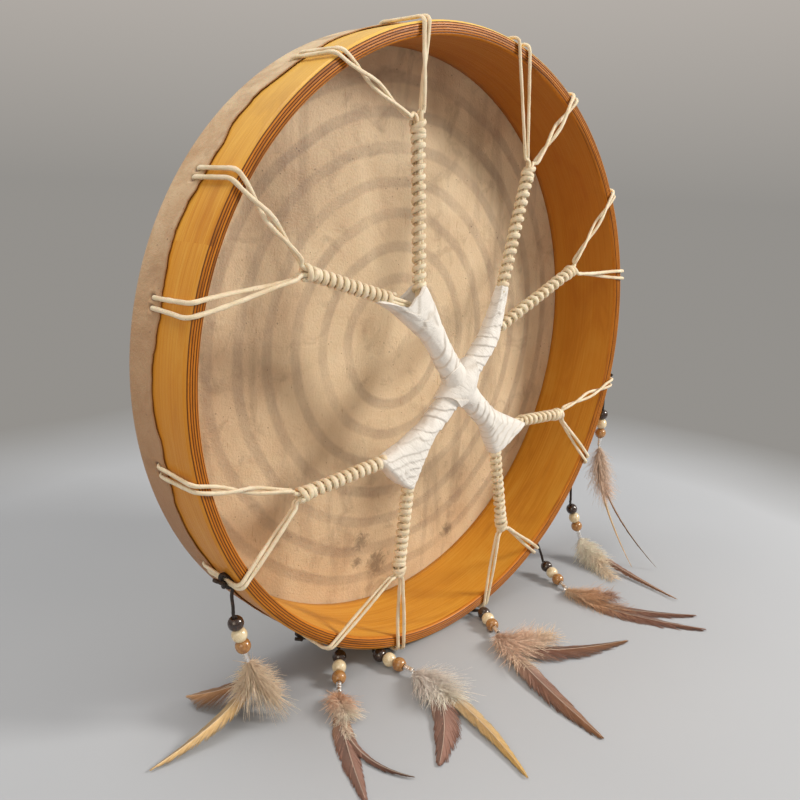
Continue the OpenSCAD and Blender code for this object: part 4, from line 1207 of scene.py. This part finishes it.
def vaneParts(feather, line, rng):
    shape = featherShape
    root, turn, tip, _ = line
    long = np.linalg.norm(np.diff(curvePoint(root, turn, tip, np.linspace(0, 1, 20)), axis=0), axis=1).sum()
    start = shape["bare"]
    count = int(long * (1 - start) / shape["barbGap"])
    t = np.linspace(0, 1, shape["barbPoints"])
    parts = []
    for hand in (-1, 1):
        s = np.linspace(start, 0.985, count)
        base = curvePoint(root, turn, tip, s)
        ahead, side = bladeSide(line, s)
        over = np.cross(ahead, side)
        over *= np.where(over[:, 2:] < 0, -1, 1)
        clump = np.array([wander(x * 30, hand * 3.0 + root[0]) for x in s])
        full = np.interp(s, (start, start + 0.1, 0.42, 0.6, 0.82, 1.0), (0.6, 0.95, 1, 0.84, 0.42, 0.05))
        splay = feather.get("splay", 4) * clump + rng.normal(0, 1.4, count)
        lean = np.radians(np.interp(s, (start, 0.55, 1), (40, 27, 13)) + splay)
        length = feather["wide"] * full / np.sin(np.maximum(lean - 0.09, 0.13))
        length = length * rng.uniform(0.82, 1.08, count)
        length = np.minimum(length, (1 - s) * long * 1.05 + 2.0)
        angle = lean[:, None] - 0.18 * t[None]
        stepAhead = np.cumsum(np.cos(angle), 1) - np.cos(angle[:, :1])
        stepSide = np.cumsum(np.sin(angle), 1) - np.sin(angle[:, :1])
        unitStep = length[:, None, None] / (shape["barbPoints"] - 1)
        droop = -0.10 * length[:, None] * t[None] ** 2 + 0.35 * clump[:, None] * t[None]
        step = stepAhead[..., None] * ahead[:, None] + hand * stepSide[..., None] * side[:, None]
        paths = base[:, None] + unitStep * step + droop[..., None] * over[:, None]
        wide = 0.30 * np.interp(t, (0, 0.7, 1), (1, 0.9, 0.3))[None] * np.ones((count, 1))
        shade = rng.uniform(0.90, 1.08, (count, 1, 1)) * (1 + 0.16 * clump[:, None, None])
        fade = np.interp(t, (0, 1), (1.1, 0.86))[None, :, None]
        tints = toneAlong(feather["tones"], s)[:, None] * shade * fade
        parts.append(hairs(paths, wide, np.broadcast_to(side[:, None], paths.shape), tints))
    return parts


def shaftPart(feather, line, downy):
    root, turn, tip, _ = line
    sides = featherShape["shaftSides"]
    s = np.linspace(0, 1, 26)
    path = curvePoint(root, turn, tip, s)
    path[:, 2] = np.maximum(path[:, 2], 0.7)
    points, faces, _, _ = tubeData(path / 1000, np.interp(s, (0, 0.3, 1), (0.55, 0.36, 0.1)) / 1000,
                                   np.interp(s, (0, 0.3, 1), (0.5, 0.34, 0.1)) / 1000, sides)
    pale = np.array(featherTones["cream"]) * 0.4 + 0.5 * toneAlong(feather["tones"], np.repeat(s, sides))
    return points, [list(f) for f in faces], pale * (0.9 if downy else 1.0)


def downParts(feather, line, rng, count, span):  # barbs all round the shaft, up to a share of its length
    root, turn, tip, _ = line
    points = featherShape["downPoints"]
    s = rng.beta(1.15, 1.5, count) * span
    base = curvePoint(root, turn, tip, s)
    ahead, side = bladeSide(line, s)
    over = np.cross(ahead, side)
    ring = rng.uniform(0, 2 * np.pi, count)
    full = np.interp(s / span, (0, 0.1, 0.4, 0.75, 1), (0.40, 0.85, 1, 0.9, 0.6))
    out = np.cos(ring)[:, None] * side * feather["wide"] + np.sin(ring)[:, None] * over * feather["deep"]
    reach = np.linalg.norm(out, axis=1) * full * rng.uniform(0.45, 1.2, count)
    lean = rng.uniform(0.45, 1.3, (count, 1))
    way = unit(unit(out) * np.sin(lean) + ahead * np.cos(lean))
    t = np.linspace(0, 1, points)
    curl = unit(rng.normal(0, 1, (count, 3)))
    swing = rng.uniform(0.10, 0.42, (count, 1, 1)) * reach[:, None, None]
    phase = ring[:, None, None]
    wobble = np.sin(t[None, :, None] * rng.uniform(2, 5, (count, 1, 1)) + phase) - np.sin(phase)
    paths = (base[:, None] + way[:, None] * (reach[:, None] * t[None])[..., None]
             + curl[:, None] * swing * t[None, :, None] ** 1.5
             + 0.05 * reach[:, None, None] * wobble * side[:, None]
             + ahead[:, None] * 0.22 * (reach[:, None] * t[None] ** 2)[..., None])
    wide = np.interp(t, (0, 0.5, 1), (0.15, 0.17, 0.06))[None] * rng.uniform(0.7, 1.3, (count, 1))
    shade = rng.uniform(0.80, 1.12, (count, 1, 1))
    fade = np.interp(t, (0, 1), (0.92, 1.05))[None, :, None]
    tints = toneAlong(feather["tones"], s / span)[:, None] * shade * fade
    return [hairs(paths, wide, np.broadcast_to(side[:, None], paths.shape), tints)]


def makeFeathers(i, charm):
    shape, parts = featherShape, []
    rng = np.random.default_rng(shape["seed"] + i)
    for m, feather in enumerate(feathers[i - 1]):
        line = featherLine(charm, feather, m)
        if "deep" in feather:
            parts += downParts(feather, line, rng, shape["downCount"], shape["downTo"])
        else:
            parts += vaneParts(feather, line, rng)
        if "fluff" in feather:  # downy lower end of the vane
            fluff = {"wide": feather["fluff"], "deep": shape["fluffDeep"] * feather["fluff"],
                     "tones": feathers[i - 1][2]["tones"]}
            upTo = feather.get("fluffTo", shape["fluffTo"])
            parts += downParts(fluff, line, rng, shape["fluffCount"], upTo)
        parts.append(shaftPart(feather, line, "deep" in feather))
    points, faces, tints, start = [], [], [], 0
    for p, f, c in parts:
        points.append(p)
        tints.append(np.asarray(c))
        faces += [[v + start for v in face] for face in f]
        start += len(p)
    mesh = bpy.data.meshes.new("feathers_%d" % i)
    mesh.from_pydata(np.concatenate(points).tolist(), [], faces)
    mesh.polygons.foreach_set("use_smooth", [True] * len(mesh.polygons))
    colours = np.concatenate([np.clip(np.concatenate(tints), 0, 0.97), np.ones((start, 1))], 1)
    mesh.attributes.new("tint", "FLOAT_COLOR", "POINT").data.foreach_set("color", colours.ravel())
    mesh.materials.append(looks["feather"])
    obj = bpy.data.objects.new("featherTuft_%d" % i, mesh)
    bpy.context.scene.collection.objects.link(obj)
    return settle(obj, "feathers_%d" % i, "feather", "plume_%d" % i)


for i, charm in enumerate(charms, 1):
    makeFeathers(i, charm)
print("feathers made")

# Floor and light
studio = {"floorHalf": 8.0, "cells": 12, "sky": (0.295, 0.282, 0.264), "skyUp": (0.47, 0.435, 0.40),
          "zenith": (0.56, 0.54, 0.52)}
lights = {
    "keyLight": {"place": (1.05, -1.06, 0.95), "at": (0, 0, 0.12), "size": 0.38, "watts": 23.8,
                 "tone": (1.0, 0.94, 0.86)},
    "leftFill": {"place": (-1.25, -0.60, 0.60), "at": (0, 0, 0.2), "size": 0.8, "watts": 4.6,
                 "tone": (1.0, 0.86, 0.68)},
    "topGlow": {"place": (-0.35, 0.15, 1.5), "at": (0, 0, 0.3), "size": 0.8, "watts": 9.0,
                "tone": (1.0, 0.95, 0.88)},
}


def makeStudio():
    half, cells = studio["floorHalf"], studio["cells"]
    row = cells + 1
    steps = np.linspace(-half, half, row)
    points = [(x, y, 0.0) for x in steps for y in steps]
    faces = [(i * row + j, (i + 1) * row + j, (i + 1) * row + j + 1, i * row + j + 1)
             for i in range(cells) for j in range(cells)]
    mesh = bpy.data.meshes.new("studioFloor")
    mesh.from_pydata(points, [], faces)
    mesh.materials.append(paleFloor())
    floor = bpy.data.objects.new("studioFloor", mesh)
    bpy.context.scene.collection.objects.link(floor)
    world = bpy.data.worlds.new("studioSky")
    bpy.context.scene.world = world
    world.use_nodes = True
    tree = world.node_tree
    height = addNode(tree, "SeparateXYZ", {0: addNode(tree, "TexCoord").outputs["Generated"]}).outputs["Z"]
    sky = ramp(tree, height, [(0.0, studio["sky"]), (0.24, studio["skyUp"]), (1.0, studio["zenith"])])
    tree.links.new(sky, tree.nodes["Background"].inputs["Color"])
    for name, light in lights.items():
        data = bpy.data.lights.new(name, "AREA")
        data.energy = light["watts"]
        data.size = light["size"]
        data.color = light["tone"]
        lamp = bpy.data.objects.new(name, data)
        bpy.context.scene.collection.objects.link(lamp)
        aim = Vector(light["at"]) - Vector(light["place"])
        turn = aim.to_track_quat("-Z", "Y").to_matrix().to_4x4()
        lamp.matrix_world = Matrix.Translation(light["place"]) @ turn
    bpy.context.scene.view_settings.view_transform = "Standard"


makeStudio()
print("studio set")
